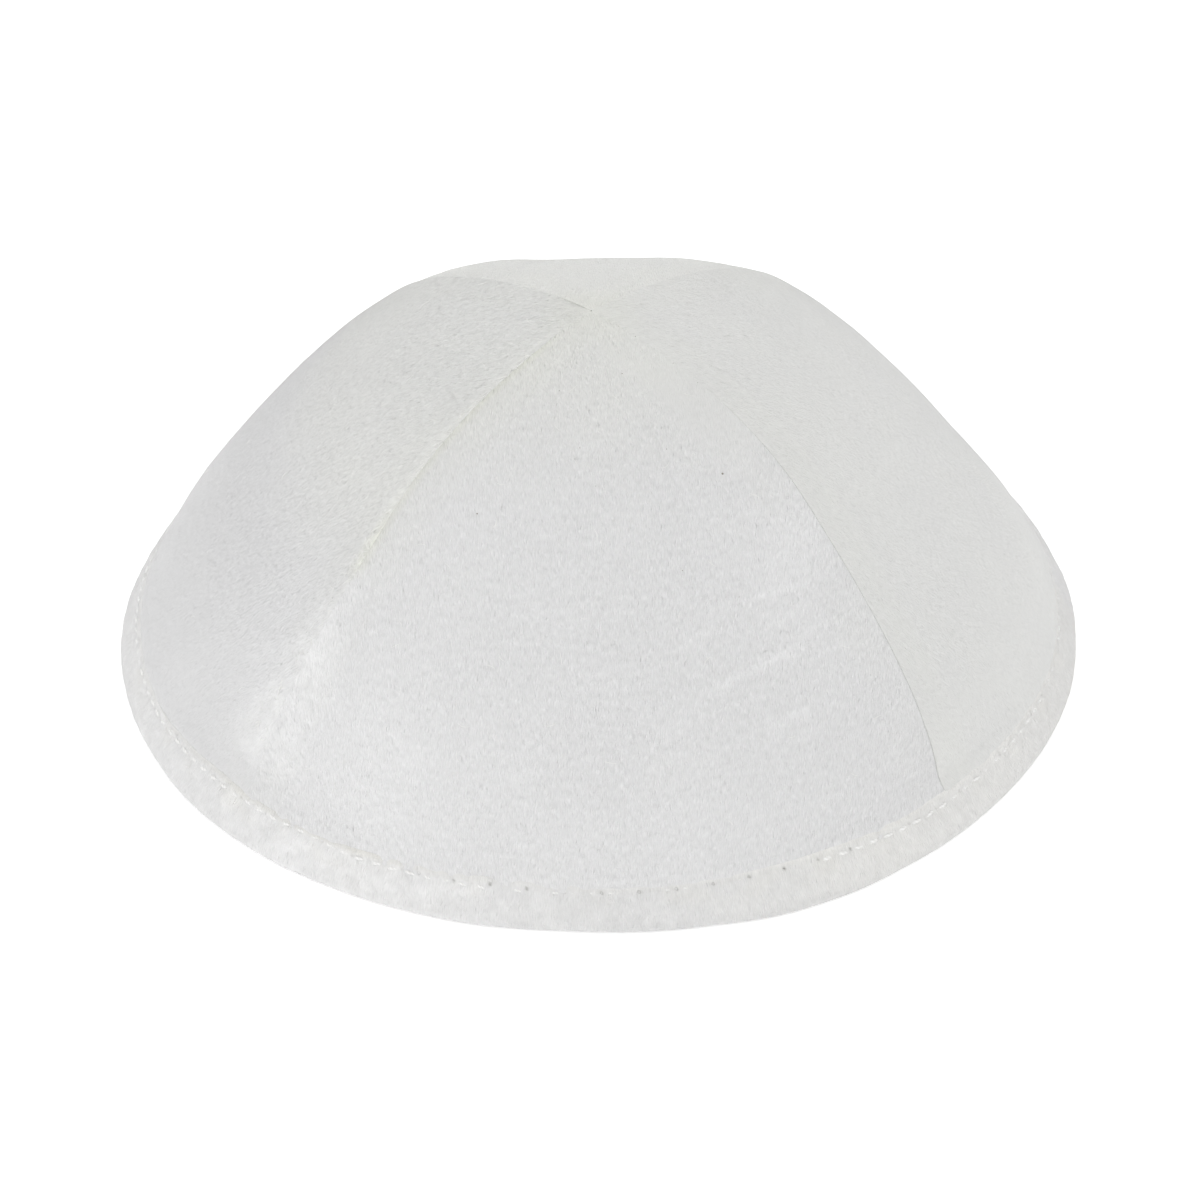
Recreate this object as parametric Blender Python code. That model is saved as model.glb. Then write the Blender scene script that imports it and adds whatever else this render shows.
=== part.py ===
"""Four-panel skullcap of thick napped cloth, with a folded binding sewn round its rim.

Four gores meet at the crown and stand edge to edge down to the rim. Their seams run out at
about 45 degrees, so one gore faces the front. Each gore is nearly flat across near the crown,
which leaves the dome a little square there, and full and round by the time it meets the rim.
The binding is one strip folded over the raw lower edge of all four gores, so its section is a
channel: an outer leg, a flat fold that the cap rests on, and an inner leg.

Metres, +Z up. The origin is the centre of the rim's resting face, -Y is the front, and +X is
on the right as seen from there.
"""

import math
from typing import NamedTuple

import bmesh
import bpy
from mathutils import Matrix, Vector

# Overall sizes of the sewn cap.
RIM_RADIUS = 0.0900
CAP_HEIGHT = 0.0700

# The binding, measured on its outer face.
BAND_HEIGHT = 0.0073
BAND_FLARE = 0.0040
BAND_PROUD = 0.0004
BAND_CLOTH = 0.0010
BAND_ROUNDING = 0.0004

# The gores.
PANEL_CLOTH = 0.0012
TUCK_RISE = 0.0025
SEAM_ROLL = 0.0022
SEAM_SINK = 0.0006

# The seams cross this far from the axis along X. The shift dies out down the dome.
CROWN_SHIFT = -0.0008

# The clearance that sewn pieces keep to each other.
SEWING_GAP = 0.0003
# A gore starts where it is this many clearances wide, so that the four tips stay apart.
TIP_CLEARANCES = 3

# How finely the round shapes are divided.
PANEL_COLUMNS = 20
DOME_ROWS = 13
BAND_STEPS = 96
SHARP_ANGLE = math.radians(40)


class Section(NamedTuple):
    """One level section of the dome, from the crown down to where the cloth tucks in.

    rise is the height over the tuck, as a share of the dome's rise. seam_reach is how far the
    seams stand from the axis, as a share of the dome's radius at the tuck. roundness is how much
    of a true circle's turn each gore makes across its width: 0 is flat, 1 is round.
    """

    rise: float
    seam_reach: float
    roundness: float


SECTIONS = (
    Section(rise=1.00, seam_reach=0.000, roundness=0.41),
    Section(rise=0.97, seam_reach=0.190, roundness=0.41),
    Section(rise=0.90, seam_reach=0.380, roundness=0.48),
    Section(rise=0.79, seam_reach=0.540, roundness=0.58),
    Section(rise=0.64, seam_reach=0.670, roundness=0.65),
    Section(rise=0.46, seam_reach=0.800, roundness=0.70),
    Section(rise=0.28, seam_reach=0.905, roundness=0.78),
    Section(rise=0.12, seam_reach=0.970, roundness=0.91),
    Section(rise=0.00, seam_reach=1.000, roundness=1.00),
)


class Seam(NamedTuple):
    """The way one seam runs from the crown to the rim, seen from above, in degrees from +X.

    The two front seams lean a little on their way down, and bow_deg is how far a seam's middle
    stands off an even lean.
    """

    crown_deg: float
    rim_deg: float
    bow_deg: float


BACK_RIGHT_SEAM = Seam(crown_deg=47.0, rim_deg=47.0, bow_deg=0.0)
BACK_LEFT_SEAM = Seam(crown_deg=137.0, rim_deg=137.0, bow_deg=0.0)
FRONT_LEFT_SEAM = Seam(crown_deg=227.0, rim_deg=223.6, bow_deg=1.0)
FRONT_RIGHT_SEAM = Seam(crown_deg=317.0, rim_deg=315.0, bow_deg=-0.9)


class Gore(NamedTuple):
    """One gore: its name, the seams at its two sides counted anticlockwise, and its colour."""

    name: str
    first_seam: Seam
    last_seam: Seam
    colour: tuple


GORES = (
    Gore("panel_right", FRONT_RIGHT_SEAM, BACK_RIGHT_SEAM, (0.70, 0.70, 0.69)),
    Gore("panel_back", BACK_RIGHT_SEAM, BACK_LEFT_SEAM, (0.71, 0.71, 0.70)),
    Gore("panel_left", BACK_LEFT_SEAM, FRONT_LEFT_SEAM, (0.70, 0.70, 0.69)),
    Gore("panel_front", FRONT_LEFT_SEAM, FRONT_RIGHT_SEAM, (0.72, 0.72, 0.71)),
)
BAND_COLOUR = (0.75, 0.745, 0.73)

# The binding's outer face leans in from its sharp foot to its lip. Rounding the foot takes its
# widest point back to the rim's radius.
BAND_SLOPE_LENGTH = math.hypot(BAND_HEIGHT, BAND_FLARE)
FOOT_RADIUS = RIM_RADIUS + BAND_ROUNDING * BAND_FLARE / BAND_SLOPE_LENGTH
LIP_RADIUS = FOOT_RADIUS - BAND_FLARE

# The dome stops a little over the lip, where its cloth starts to tuck in behind the outer leg.
TUCK_LEVEL = BAND_HEIGHT + TUCK_RISE
DOME_RADIUS = LIP_RADIUS - BAND_PROUD - BAND_FLARE * TUCK_RISE / BAND_HEIGHT

# The hem's levels: where it enters the binding, and its raw edge over the fold.
HEM_TOP = BAND_HEIGHT + SEWING_GAP
HEM_EDGE = BAND_CLOTH + SEWING_GAP

# The thickness of cloth in the slanted binding, measured level.
LEVEL_SLANT = BAND_SLOPE_LENGTH / BAND_HEIGHT


def clear_scene():
    """Removes whatever the scene holds."""
    for obj in list(bpy.data.objects):
        bpy.data.objects.remove(obj, do_unlink=True)


def cloth_material(name, colour):
    """A matt, napped cloth of one colour."""
    material = bpy.data.materials.new(name)
    material.use_nodes = True
    shader = material.node_tree.nodes["Principled BSDF"]
    shader.inputs["Base Color"].default_value = (*colour, 1.0)
    shader.inputs["Roughness"].default_value = 0.95
    shader.inputs["Metallic"].default_value = 0.0
    return material


def through_sections(share, column, at_crown):
    """A column of the section table at a share of the way down it, on a smooth curve.

    at_crown is 1 for a value that is even across the crown, such as a height, and -1 for one
    that changes sign there, such as a reach.
    """
    values = [getattr(section, column) for section in SECTIONS]
    last = len(values) - 1
    place = min(max(share, 0.0), 1.0) * last
    row = min(int(place), last - 1)
    t = place - row
    before = values[row - 1] if row else at_crown * values[1]
    after = values[row + 2] if row + 2 <= last else 2 * values[last] - values[last - 1]
    start_slope = (values[row + 1] - before) / 2
    end_slope = (after - values[row]) / 2
    rise = values[row + 1] - values[row]
    return (
        values[row]
        + start_slope * t
        + (3 * rise - 2 * start_slope - end_slope) * t**2
        + (start_slope + end_slope - 2 * rise) * t**3
    )


def seam_angle(seam, share):
    """Where a seam stands at a share of the way down, in radians from +X."""
    lean = seam.crown_deg + (seam.rim_deg - seam.crown_deg) * share
    return math.radians(lean + seam.bow_deg * math.sin(math.pi * share))


def face_point(gore, share, across, seam_reach, roundness, height):
    """A point on the outer face of a gore.

    across runs from -1 at the first seam to 1 at the last. The section between two seams is an
    arc that turns through roundness of the angle between them.
    """
    first = seam_angle(gore.first_seam, share)
    last = seam_angle(gore.last_seam, share)
    if last < first:
        last += 2 * math.pi
    middle, half_angle = (first + last) / 2, (last - first) / 2
    half_turn = max(roundness * half_angle, 1e-3)
    arc_radius = seam_reach * math.sin(half_angle) / math.sin(half_turn)
    sideways = arc_radius * math.sin(half_turn * across)
    bulge = arc_radius * (math.cos(half_turn * across) - math.cos(half_turn))
    outwards = seam_reach * math.cos(half_angle) + bulge
    point = Matrix.Rotation(middle, 3, "Z") @ Vector((outwards, sideways, height))
    point.x += CROWN_SHIFT * (1 - share) ** 4
    return point


def dome_point(gore, share, across):
    """A point on the outer face of the dome, share of the way from the crown to the tuck."""
    return face_point(
        gore,
        share,
        across,
        DOME_RADIUS * through_sections(share, "seam_reach", -1),
        through_sections(share, "roundness", 1),
        TUCK_LEVEL + (CAP_HEIGHT - TUCK_LEVEL) * through_sections(share, "rise", 1),
    )


def hem_radius(height):
    """The outer face of the gores' hem, one clearance behind the outer leg of the binding."""
    flare_left = BAND_FLARE * (1 - height / BAND_HEIGHT)
    return LIP_RADIUS + flare_left - (BAND_CLOTH + SEWING_GAP) * LEVEL_SLANT


def hem_point(gore, height, across):
    """A point on the outer face of the hem, which is a true cone inside the binding."""
    return face_point(gore, 1.0, across, hem_radius(height), 1.0, height)


def inward(gore, share, across, at_seam):
    """The way into the cloth from the dome's face, one unit of thickness long.

    At a seam both gores turn in along the seam's own plane, so that their edges stay parallel.
    """
    step = 1e-3
    high, low = max(share - step, step), min(share + step, 1.0)
    down = dome_point(gore, low, across) - dome_point(gore, high, across)
    side = dome_point(gore, share, across + step) - dome_point(gore, share, across - step)
    normal = side.cross(down).normalized()
    if not at_seam:
        return normal
    seam = gore.last_seam if across > 0 else gore.first_seam
    angle = seam_angle(seam, share)
    off_plane = Vector((-math.sin(angle), math.cos(angle), 0.0))
    in_plane = normal - off_plane * normal.dot(off_plane)
    return in_plane / in_plane.length_squared


def column_place(column, half_width):
    """How far across a gore a column of points lies, from -1 to 1.

    The outermost column stops half a clearance short of the seam, the next marks the start of
    the turned-in edge, and the rest are spread evenly between.
    """
    edge = 1 - SEWING_GAP / 2 / half_width
    roll = edge - min(SEAM_ROLL / half_width, 0.4 * edge)
    side = column - PANEL_COLUMNS / 2
    if abs(side) == PANEL_COLUMNS / 2:
        return math.copysign(edge, side)
    return roll * side / (PANEL_COLUMNS / 2 - 1)


def crown_share():
    """The share of the way down at which a gore is wide enough to start."""
    width_per_share = DOME_RADIUS * (len(SECTIONS) - 1) * SECTIONS[1].seam_reach * math.sqrt(2)
    return TIP_CLEARANCES * SEWING_GAP / width_per_share


def dome_row(gore, share, thickness, edge_sink):
    """One row of points across the dome: a list of (outer face, inner face) pairs."""
    half_width = (dome_point(gore, share, 1) - dome_point(gore, share, -1)).length / 2
    row = []
    for column in range(PANEL_COLUMNS + 1):
        across = column_place(column, half_width)
        at_seam = column in (0, PANEL_COLUMNS)
        into = inward(gore, share, across, at_seam)
        outer = dome_point(gore, share, across) + into * (edge_sink if at_seam else 0)
        row.append((outer, outer + into * thickness))
    return row


def hem_row(gore, height, thickness):
    """One row of points across the hem, with its thickness measured level."""
    half_width = hem_radius(height) * math.sin(math.pi / 4)
    row = []
    for column in range(PANEL_COLUMNS + 1):
        outer = hem_point(gore, height, column_place(column, half_width))
        level = Vector((outer.x, outer.y, 0.0)).normalized()
        row.append((outer, outer - level * thickness * LEVEL_SLANT))
    return row


def gore_rows(gore):
    """The rows of a gore, from the crown down to its raw edge in the binding."""
    start = crown_share()
    rows = []
    for index in range(DOME_ROWS + 1):
        share = start + (1 - start) * index / DOME_ROWS
        sink = SEAM_SINK if index < DOME_ROWS else 0.0
        rows.append(dome_row(gore, share, PANEL_CLOTH, sink))
    for height in (HEM_TOP, (HEM_TOP + HEM_EDGE) / 2, HEM_EDGE):
        rows.append(hem_row(gore, height, PANEL_CLOTH))
    return rows


def link_object(name, mesh_builder, material):
    """Turns a bmesh into a linked object of that name, with its faces pointing out."""
    bmesh.ops.recalc_face_normals(mesh_builder, faces=mesh_builder.faces)
    if mesh_builder.calc_volume(signed=True) < 0:
        bmesh.ops.reverse_faces(mesh_builder, faces=mesh_builder.faces)
    mesh = bpy.data.meshes.new(name)
    mesh_builder.to_mesh(mesh)
    mesh_builder.free()
    mesh.shade_smooth()
    mesh.set_sharp_from_angle(angle=SHARP_ANGLE)
    mesh.materials.append(material)
    obj = bpy.data.objects.new(name, mesh)
    bpy.context.scene.collection.objects.link(obj)
    return obj


def make_gore(gore):
    """A gore: a grid laid on the dome, extruded through the thickness of the cloth."""
    rows = gore_rows(gore)
    builder = bmesh.new()
    bmesh.ops.create_grid(builder, x_segments=PANEL_COLUMNS, y_segments=len(rows) - 1, size=1)
    for vert in builder.verts:
        column = round((vert.co.x + 1) / 2 * PANEL_COLUMNS)
        row = round((1 - vert.co.y) / 2 * (len(rows) - 1))
        vert.co = Vector((column, row, 0))
    walled = bmesh.ops.extrude_face_region(builder, geom=builder.faces[:])
    inner_face = {item for item in walled["geom"] if isinstance(item, bmesh.types.BMVert)}
    for vert in builder.verts:
        column, row = round(vert.co.x), round(vert.co.y)
        vert.co = rows[row][column][1 if vert in inner_face else 0]
    return link_object(gore.name, builder, cloth_material(gore.name, gore.colour))


def channel_section():
    """The binding's section as (radius, height) corners.

    The first six go round the outside of the channel, from the outer lip over the fold to the
    inner lip. The last two are its inner corners, which meet the fold.
    """
    leg = BAND_CLOTH * LEVEL_SLANT
    outer_leg_inside = LIP_RADIUS - leg
    inner_leg_outside = outer_leg_inside - (2 * SEWING_GAP + PANEL_CLOTH) * LEVEL_SLANT
    inner_leg_inside = inner_leg_outside - leg
    flare_above_fold = BAND_FLARE * (1 - BAND_CLOTH / BAND_HEIGHT)
    return (
        (outer_leg_inside, BAND_HEIGHT),
        (LIP_RADIUS, BAND_HEIGHT),
        (FOOT_RADIUS, 0.0),
        (inner_leg_inside + BAND_FLARE, 0.0),
        (inner_leg_inside, BAND_HEIGHT),
        (inner_leg_outside, BAND_HEIGHT),
        (inner_leg_outside + flare_above_fold, BAND_CLOTH),
        (outer_leg_inside + flare_above_fold, BAND_CLOTH),
    )


def make_band():
    """The binding: its channel section, rounded outside, spun once round the rim."""
    builder = bmesh.new()
    corners = [builder.verts.new((radius, 0.0, height)) for radius, height in channel_section()]
    builder.faces.new(corners)
    bmesh.ops.bevel(
        builder,
        geom=corners[:6],
        offset=min(BAND_ROUNDING, 0.45 * BAND_CLOTH),
        segments=1,
        profile=0.5,
        affect="VERTICES",
    )
    bmesh.ops.delete(builder, geom=builder.faces[:], context="FACES_ONLY")
    bmesh.ops.spin(
        builder,
        geom=builder.verts[:] + builder.edges[:],
        cent=(0, 0, 0),
        axis=(0, 0, 1),
        angle=2 * math.pi,
        steps=BAND_STEPS,
        use_merge=True,
    )
    return link_object("rim_band", builder, cloth_material("rim_band", BAND_COLOUR))


def main():
    """Builds the cap: four gores and their binding."""
    clear_scene()
    for gore in GORES:
        make_gore(gore)
    make_band()


main()
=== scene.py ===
"""The looks of a white four-gore skullcap that stands on its bound rim.

Each gore and the binding get a finer piece of napped cloth over their solid: turned seam edges,
a lip where one seam stands proud, small creases, and a padded binding with its sewn channel and
needle holes. The topstitches, the loose fibres and the dark grains are pieces of their own.

Metres, +Z up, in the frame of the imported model: -Y is the front, +X is on the right from there.
"""

import logging
import math
import random
from dataclasses import dataclass
from enum import Enum
from typing import Any, Optional, Sequence, Union

import bmesh
import bpy
from bmesh.types import BMEdge, BMesh, BMVert
from bpy.types import Material, Node, NodeSocket, NodeTree, Object
from mathutils import Euler, Matrix, Vector, noise
from mathutils.bvhtree import BVHTree


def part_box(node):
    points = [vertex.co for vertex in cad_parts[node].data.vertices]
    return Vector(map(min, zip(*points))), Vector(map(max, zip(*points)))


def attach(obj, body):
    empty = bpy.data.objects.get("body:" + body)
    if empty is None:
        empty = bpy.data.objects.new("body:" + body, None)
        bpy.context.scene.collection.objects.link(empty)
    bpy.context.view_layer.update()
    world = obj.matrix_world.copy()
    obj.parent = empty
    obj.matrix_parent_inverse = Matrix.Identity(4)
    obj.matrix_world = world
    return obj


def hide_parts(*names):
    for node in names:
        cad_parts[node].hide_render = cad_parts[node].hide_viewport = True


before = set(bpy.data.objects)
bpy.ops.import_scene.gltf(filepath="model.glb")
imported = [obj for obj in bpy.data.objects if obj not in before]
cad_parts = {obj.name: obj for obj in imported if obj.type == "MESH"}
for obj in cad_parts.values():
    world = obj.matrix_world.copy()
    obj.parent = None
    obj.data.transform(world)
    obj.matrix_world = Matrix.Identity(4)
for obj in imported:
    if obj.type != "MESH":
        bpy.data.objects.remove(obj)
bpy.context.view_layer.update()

BODY = "root"
MM = 0.001
TURN = 2 * math.pi
SHARP_ANGLE = math.radians(50)

# What the meshes carry for their materials: a UV map, and four numbers at each point:
# the warmth, the painted shade, the small forms' painted light and shade, and how flat the nap lies.
CLOTH_UV = "cloth_lay"
MARKS = ("warmth", "shade", "crest_and_shading", "sleek")
WARMTH, SHADE, CREST_SHADING, SLEEK = MARKS

log = logging.getLogger("skullcap")

Number = Union[float, NodeSocket]
Pair = tuple[float, float]
Colour = tuple[float, float, float]


def smooth_step(value: float, low: float, high: float) -> float:
    """Eases from 0 at low to 1 at high, which may lie under low for a fall."""
    share = min(max((value - low) / (high - low), 0.0), 1.0)
    return share * share * (3 - 2 * share)


def bell(distance: float, width: float) -> float:
    """A rounded hump, 1 in its middle and nearly 0 two widths away."""
    return math.exp(-((distance / width) ** 2))


def fade_out(distance: float, reach: float) -> float:
    """Falls smoothly from 1 at no distance to 0 at its reach."""
    share = min(abs(distance) / reach, 1.0)
    return (1 - share * share) ** 2


def table(kind: type, *rows: tuple) -> tuple:
    """The rows of a short table, whose columns are the fields of their kind."""
    return tuple(kind(*row) for row in rows)


def between(stops: Sequence, column: str, place: float) -> float:
    """Reads a column of a short table between its rows.

    Args:
        stops: The rows, in rising order of their place.
        column: The column that is read.
        place: Where it is read.

    Returns:
        The value, eased from row to row and even beyond the ends.
    """
    place = min(max(place, stops[0].place), stops[-1].place)
    lower, upper = next(pair for pair in zip(stops, stops[1:]) if place <= pair[1].place)
    start = getattr(lower, column)
    return start + (getattr(upper, column) - start) * smooth_step(place, lower.place, upper.place)


def ripple(place: Vector, size: float, seed: float) -> float:
    """Smooth noise from -1 to 1, whose lumps are about as large as size."""
    return noise.noise(place / size + Vector((seed, -seed, 2 * seed)))


@dataclass(frozen=True)
class Lumps:
    """Smooth lumps in cloth: their height and size in millimetres, and their seed."""

    height: float
    size: float
    seed: float

    def at(self, place: Vector, seed: float = 0.0) -> float:
        """The lumps' height at a place, in metres."""
        return self.height * MM * ripple(place, self.size * MM, self.seed + seed)


@dataclass(frozen=True)
class Spread:
    """What is strongest in its middle: how strong it is there, and its width in millimetres."""

    strength: float
    width: float

    def fade(self, distance: float) -> float:
        """What is left at a distance, and nothing beyond the width."""
        return self.strength * fade_out(distance, self.width * MM)

    def hump(self, distance: float) -> float:
        """What is left at a distance, on a rounded hump."""
        return self.strength * bell(distance, self.width * MM)


def mark_layers(builder: BMesh) -> list:
    """Makes the layers for what a mesh's points carry, in the order of MARKS."""
    return [builder.verts.layers.float.new(name) for name in MARKS]


def finish_mesh(name: str, builder: BMesh, closed: bool = True) -> Object:
    """Turns a bmesh into a linked, smooth-shaded object whose faces point outwards.

    Args:
        name: The name of the piece.
        builder: The mesh, which is freed.
        closed: Whether it is one shell, so that its volume shows which way it faces.

    Returns:
        The piece, unturned at the origin.
    """
    bmesh.ops.recalc_face_normals(builder, faces=builder.faces)
    if closed and builder.calc_volume(signed=True) < 0:
        bmesh.ops.reverse_faces(builder, faces=builder.faces)
    mesh = bpy.data.meshes.new(name)
    builder.to_mesh(mesh)
    builder.free()
    mesh.shade_smooth()
    mesh.set_sharp_from_angle(angle=SHARP_ANGLE)
    piece = bpy.data.objects.new(name, mesh)
    bpy.context.scene.collection.objects.link(piece)
    return piece


class Board:
    """A node tree, with short ways to lay nodes on it and join them."""

    def __init__(self, tree: NodeTree) -> None:
        """Takes the tree to lay nodes on."""
        self.tree = tree

    def give(self, socket: NodeSocket, value: Any) -> None:
        """Links a socket into another, or sets its own value.

        Args:
            socket: The input that gets it.
            value: The socket to link from, or a number, vector or colour.
        """
        if isinstance(value, NodeSocket):
            self.tree.links.new(value, socket)
        else:
            socket.default_value = value

    def add(self, kind: str, given: Optional[dict] = None, **settings: Any) -> Node:
        """Lays one node.

        Args:
            kind: The node's type in Blender.
            given: What its inputs get, by their names or numbers.
            settings: Its own settings, by name.

        Returns:
            The node.
        """
        node = self.tree.nodes.new(kind)
        for name, value in settings.items():
            setattr(node, name, value)
        for name, value in (given or {}).items():
            self.give(node.inputs[name], value)
        return node

    def math(self, operation: str, *numbers: Number) -> NodeSocket:
        """The output of a Math node."""
        return self.add("ShaderNodeMath", dict(enumerate(numbers)), operation=operation).outputs[0]

    def plus(self, first: Number, second: Number) -> NodeSocket:
        """Two numbers added."""
        return self.math("ADD", first, second)

    def times(self, first: Number, second: Number) -> NodeSocket:
        """Two numbers multiplied."""
        return self.math("MULTIPLY", first, second)

    def vector(self, operation: str, first: Any, second: Any) -> NodeSocket:
        """The output of a Vector Math node on a vector and either a number or a vector."""
        given = {0: first, "Scale" if operation == "SCALE" else 1: second}
        return self.add("ShaderNodeVectorMath", given, operation=operation).outputs[0]

    def mix(self, factor: Number, first: Any, second: Any, clamp: bool = True) -> NodeSocket:
        """The output of a Mix node on two colours, which are its inputs 6 and 7."""
        given = {0: factor, 6: first, 7: second}
        return self.add("ShaderNodeMix", given, data_type="RGBA", clamp_factor=clamp).outputs[2]

    def noise(self, vector: NodeSocket, scale: Number, detail: float, rough: float = 0.5) -> Node:
        """A noise texture with so many lumps in one unit, and finer layers of some roughness."""
        given = {"Vector": vector, "Scale": scale, "Detail": detail, "Roughness": rough}
        return self.add("ShaderNodeTexNoise", given, noise_dimensions="3D")

    def bump(self, height: NodeSocket, distance: float) -> NodeSocket:
        """The normal of a Bump node at full strength."""
        given = {"Height": height, "Distance": distance, "Strength": 1.0}
        return self.add("ShaderNodeBump", given).outputs["Normal"]

    def lay(self) -> NodeSocket:
        """The place on the piece's own UV map."""
        return self.add("ShaderNodeUVMap", uv_map=CLOTH_UV).outputs["UV"]

    def mark(self, name: str) -> NodeSocket:
        """One of the numbers that the piece's points carry."""
        return self.add("ShaderNodeAttribute", attribute_name=name).outputs["Fac"]


def new_material(name: str, plain: dict[str, Any]) -> tuple[Material, Board, Any]:
    """Makes a material with one Principled shader.

    Args:
        name: Its name.
        plain: What the shader's sockets hold that are the same all over.

    Returns:
        The material, a board on its nodes and the shader's inputs.
    """
    material = bpy.data.materials.new(name)
    material.use_nodes = True
    inputs = material.node_tree.nodes["Principled BSDF"].inputs
    for socket, value in plain.items():
        inputs[socket].default_value = value
    return material, Board(material.node_tree), inputs


@dataclass(frozen=True)
class NapPattern:
    """The pile of brushed cloth as one node group, for each cloth to place with its own sizes.

    The group reads a place in metres, X across the nap and Y along it. It puts out the height
    of the pile from 0 to 1, the hairs' painted shade and light about 0, darker where the pile is
    low, and a random tone of the patches about 0.
    """

    name: str = "brushed_nap"
    curl: float = 0.35
    hair_share: float = 0.72
    patch_size: float = 16 * MM
    fleck_width: float = 1.2
    fleck_gain: float = 3.2
    fleck_share: float = 0.30

    def group(self) -> NodeTree:
        """The node group, made the first time that it is asked for."""
        return bpy.data.node_groups.get(self.name) or self.build()

    def build(self) -> NodeTree:
        """Makes the node group.

        Returns:
            The shader node group.
        """
        tree = bpy.data.node_groups.new(self.name, "ShaderNodeTree")
        tree.interface.new_socket("Place", in_out="INPUT", socket_type="NodeSocketVector")
        for name in ("Hair Width", "Hair Length", "Tuft Size"):
            tree.interface.new_socket(name, in_out="INPUT", socket_type="NodeSocketFloat")
        for name in ("Height", "Hair Shading", "Patch Tone"):
            tree.interface.new_socket(name, in_out="OUTPUT", socket_type="NodeSocketFloat")
        board = Board(tree)
        given = board.add("NodeGroupInput").outputs
        result = board.add("NodeGroupOutput").inputs
        place, tuft = given["Place"], given["Tuft Size"]

        density = board.math("DIVIDE", 1.0, tuft)
        swirl = board.noise(place, density, 1.0).outputs["Color"]
        middle = board.vector("SUBTRACT", swirl, (0.5, 0.5, 0.5))
        bent = board.vector("SCALE", middle, board.times(tuft, self.curl))
        bent = board.vector("ADD", place, bent)
        width = board.math("DIVIDE", 1.0, given["Hair Width"])
        length = board.math("DIVIDE", 1.0, given["Hair Length"])
        stretch = board.add("ShaderNodeCombineXYZ", {"X": width, "Y": length, "Z": 1.0})
        combed = board.vector("MULTIPLY", bent, stretch.outputs[0])

        hairs = board.noise(combed, 1.0, 3.0, 0.6).outputs[0]
        tufts = board.noise(bent, density, 3.0, 0.55).outputs[0]
        flecks = board.noise(combed, 1 / self.fleck_width, 1.0).outputs[0]
        flecks = board.times(board.math("SUBTRACT", flecks, 0.5), self.fleck_gain)
        flecks = board.times(board.math("POWER", flecks, 3.0), self.fleck_share)
        height = board.times(hairs, self.hair_share)
        height = board.plus(height, board.times(tufts, 1 - self.hair_share))
        height = board.plus(height, flecks)
        patches = board.noise(place, 1 / self.patch_size, 2.0).outputs[0]
        board.give(result["Height"], height)
        # The hairs' painted shade and light: the pile's height about its middle.
        board.give(result["Hair Shading"], board.math("SUBTRACT", height, 0.5))
        board.give(result["Patch Tone"], board.math("SUBTRACT", patches, 0.5))
        return tree


@dataclass(frozen=True)
class NappedCloth:
    """Matt brushed cloth: off-white, cooler in the open and creamier at seams and crown.

    Colours are linear, and painted shade is mixed towards the shade colour. The tones and gains
    say how much lighter or darker the colour is painted for each unit of a pattern: painted shade
    between the hairs, painted light on ridges and shade in creases, painted shade where the nap lies
    flat, and a random tone in patches.
    """

    name: str
    cool: Colour = (0.717, 0.7165, 0.7185)
    cream: Colour = (0.717, 0.7205, 0.684)
    shade_colour: Colour = (0.12, 0.115, 0.09)
    hair_width: float = 0.18 * MM
    hair_length: float = 1.20 * MM
    tuft_size: float = 1.2 * MM
    pile: float = 0.55 * MM
    hair_shading: float = 0.60
    patch_tone: float = 0.05
    patch_warmth: float = 0.3
    crest_shading_gain: float = 0.20
    sleek_shade: float = 0.10
    roughness: float = 0.96
    sheen: float = 0.20

    def material(self) -> Material:
        """Builds the cloth's material.

        Returns:
            A material that reads the piece's own UV map and marks.
        """
        plain = {"Roughness": self.roughness, "Diffuse Roughness": 1.0, "Specular IOR Level": 0.15,
                 "Sheen Weight": self.sheen, "Sheen Roughness": 0.5}
        material, board, shader = new_material(self.name, plain)
        sizes = {"Place": board.lay(), "Hair Width": self.hair_width,
                 "Hair Length": self.hair_length, "Tuft Size": self.tuft_size}
        nap = board.add("ShaderNodeGroup", sizes, node_tree=NapPattern().group()).outputs
        patch, sleek = nap["Patch Tone"], board.mark(SLEEK)
        loose = board.math("SUBTRACT", 1.0, sleek)

        warmth = board.plus(board.mark(WARMTH), board.times(patch, self.patch_warmth))
        warmth = board.math("MAXIMUM", warmth, 0.0)
        tint = board.mix(warmth, (*self.cool, 1), (*self.cream, 1), clamp=False)
        # Painted shade between the hairs and painted light on their tips, less where the nap lies
        # flat.
        fine = board.times(board.times(nap["Hair Shading"], self.hair_shading), loose)
        # A random tone in patches, and painted shade on flat nap in place of the bumps' shading.
        broad = board.plus(board.times(patch, self.patch_tone), board.times(sleek, -self.sleek_shade))
        # Painted light on ridges and tufts, and painted shade in creases.
        ridge_shading = board.plus(board.times(board.mark(CREST_SHADING), self.crest_shading_gain), 1.0)
        tone = board.plus(board.plus(fine, broad), ridge_shading)
        colour = board.vector("SCALE", tint, tone)
        # Painted shade in slits, needle holes, in the lee of a lip and under the binding's lip: the
        # colour is mixed towards the shade colour.
        colour = board.mix(board.mark(SHADE), colour, (*self.shade_colour, 1))
        board.give(shader["Base Color"], colour)
        board.give(shader["Normal"], board.bump(board.times(nap["Height"], loose), self.pile))
        return material


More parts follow.
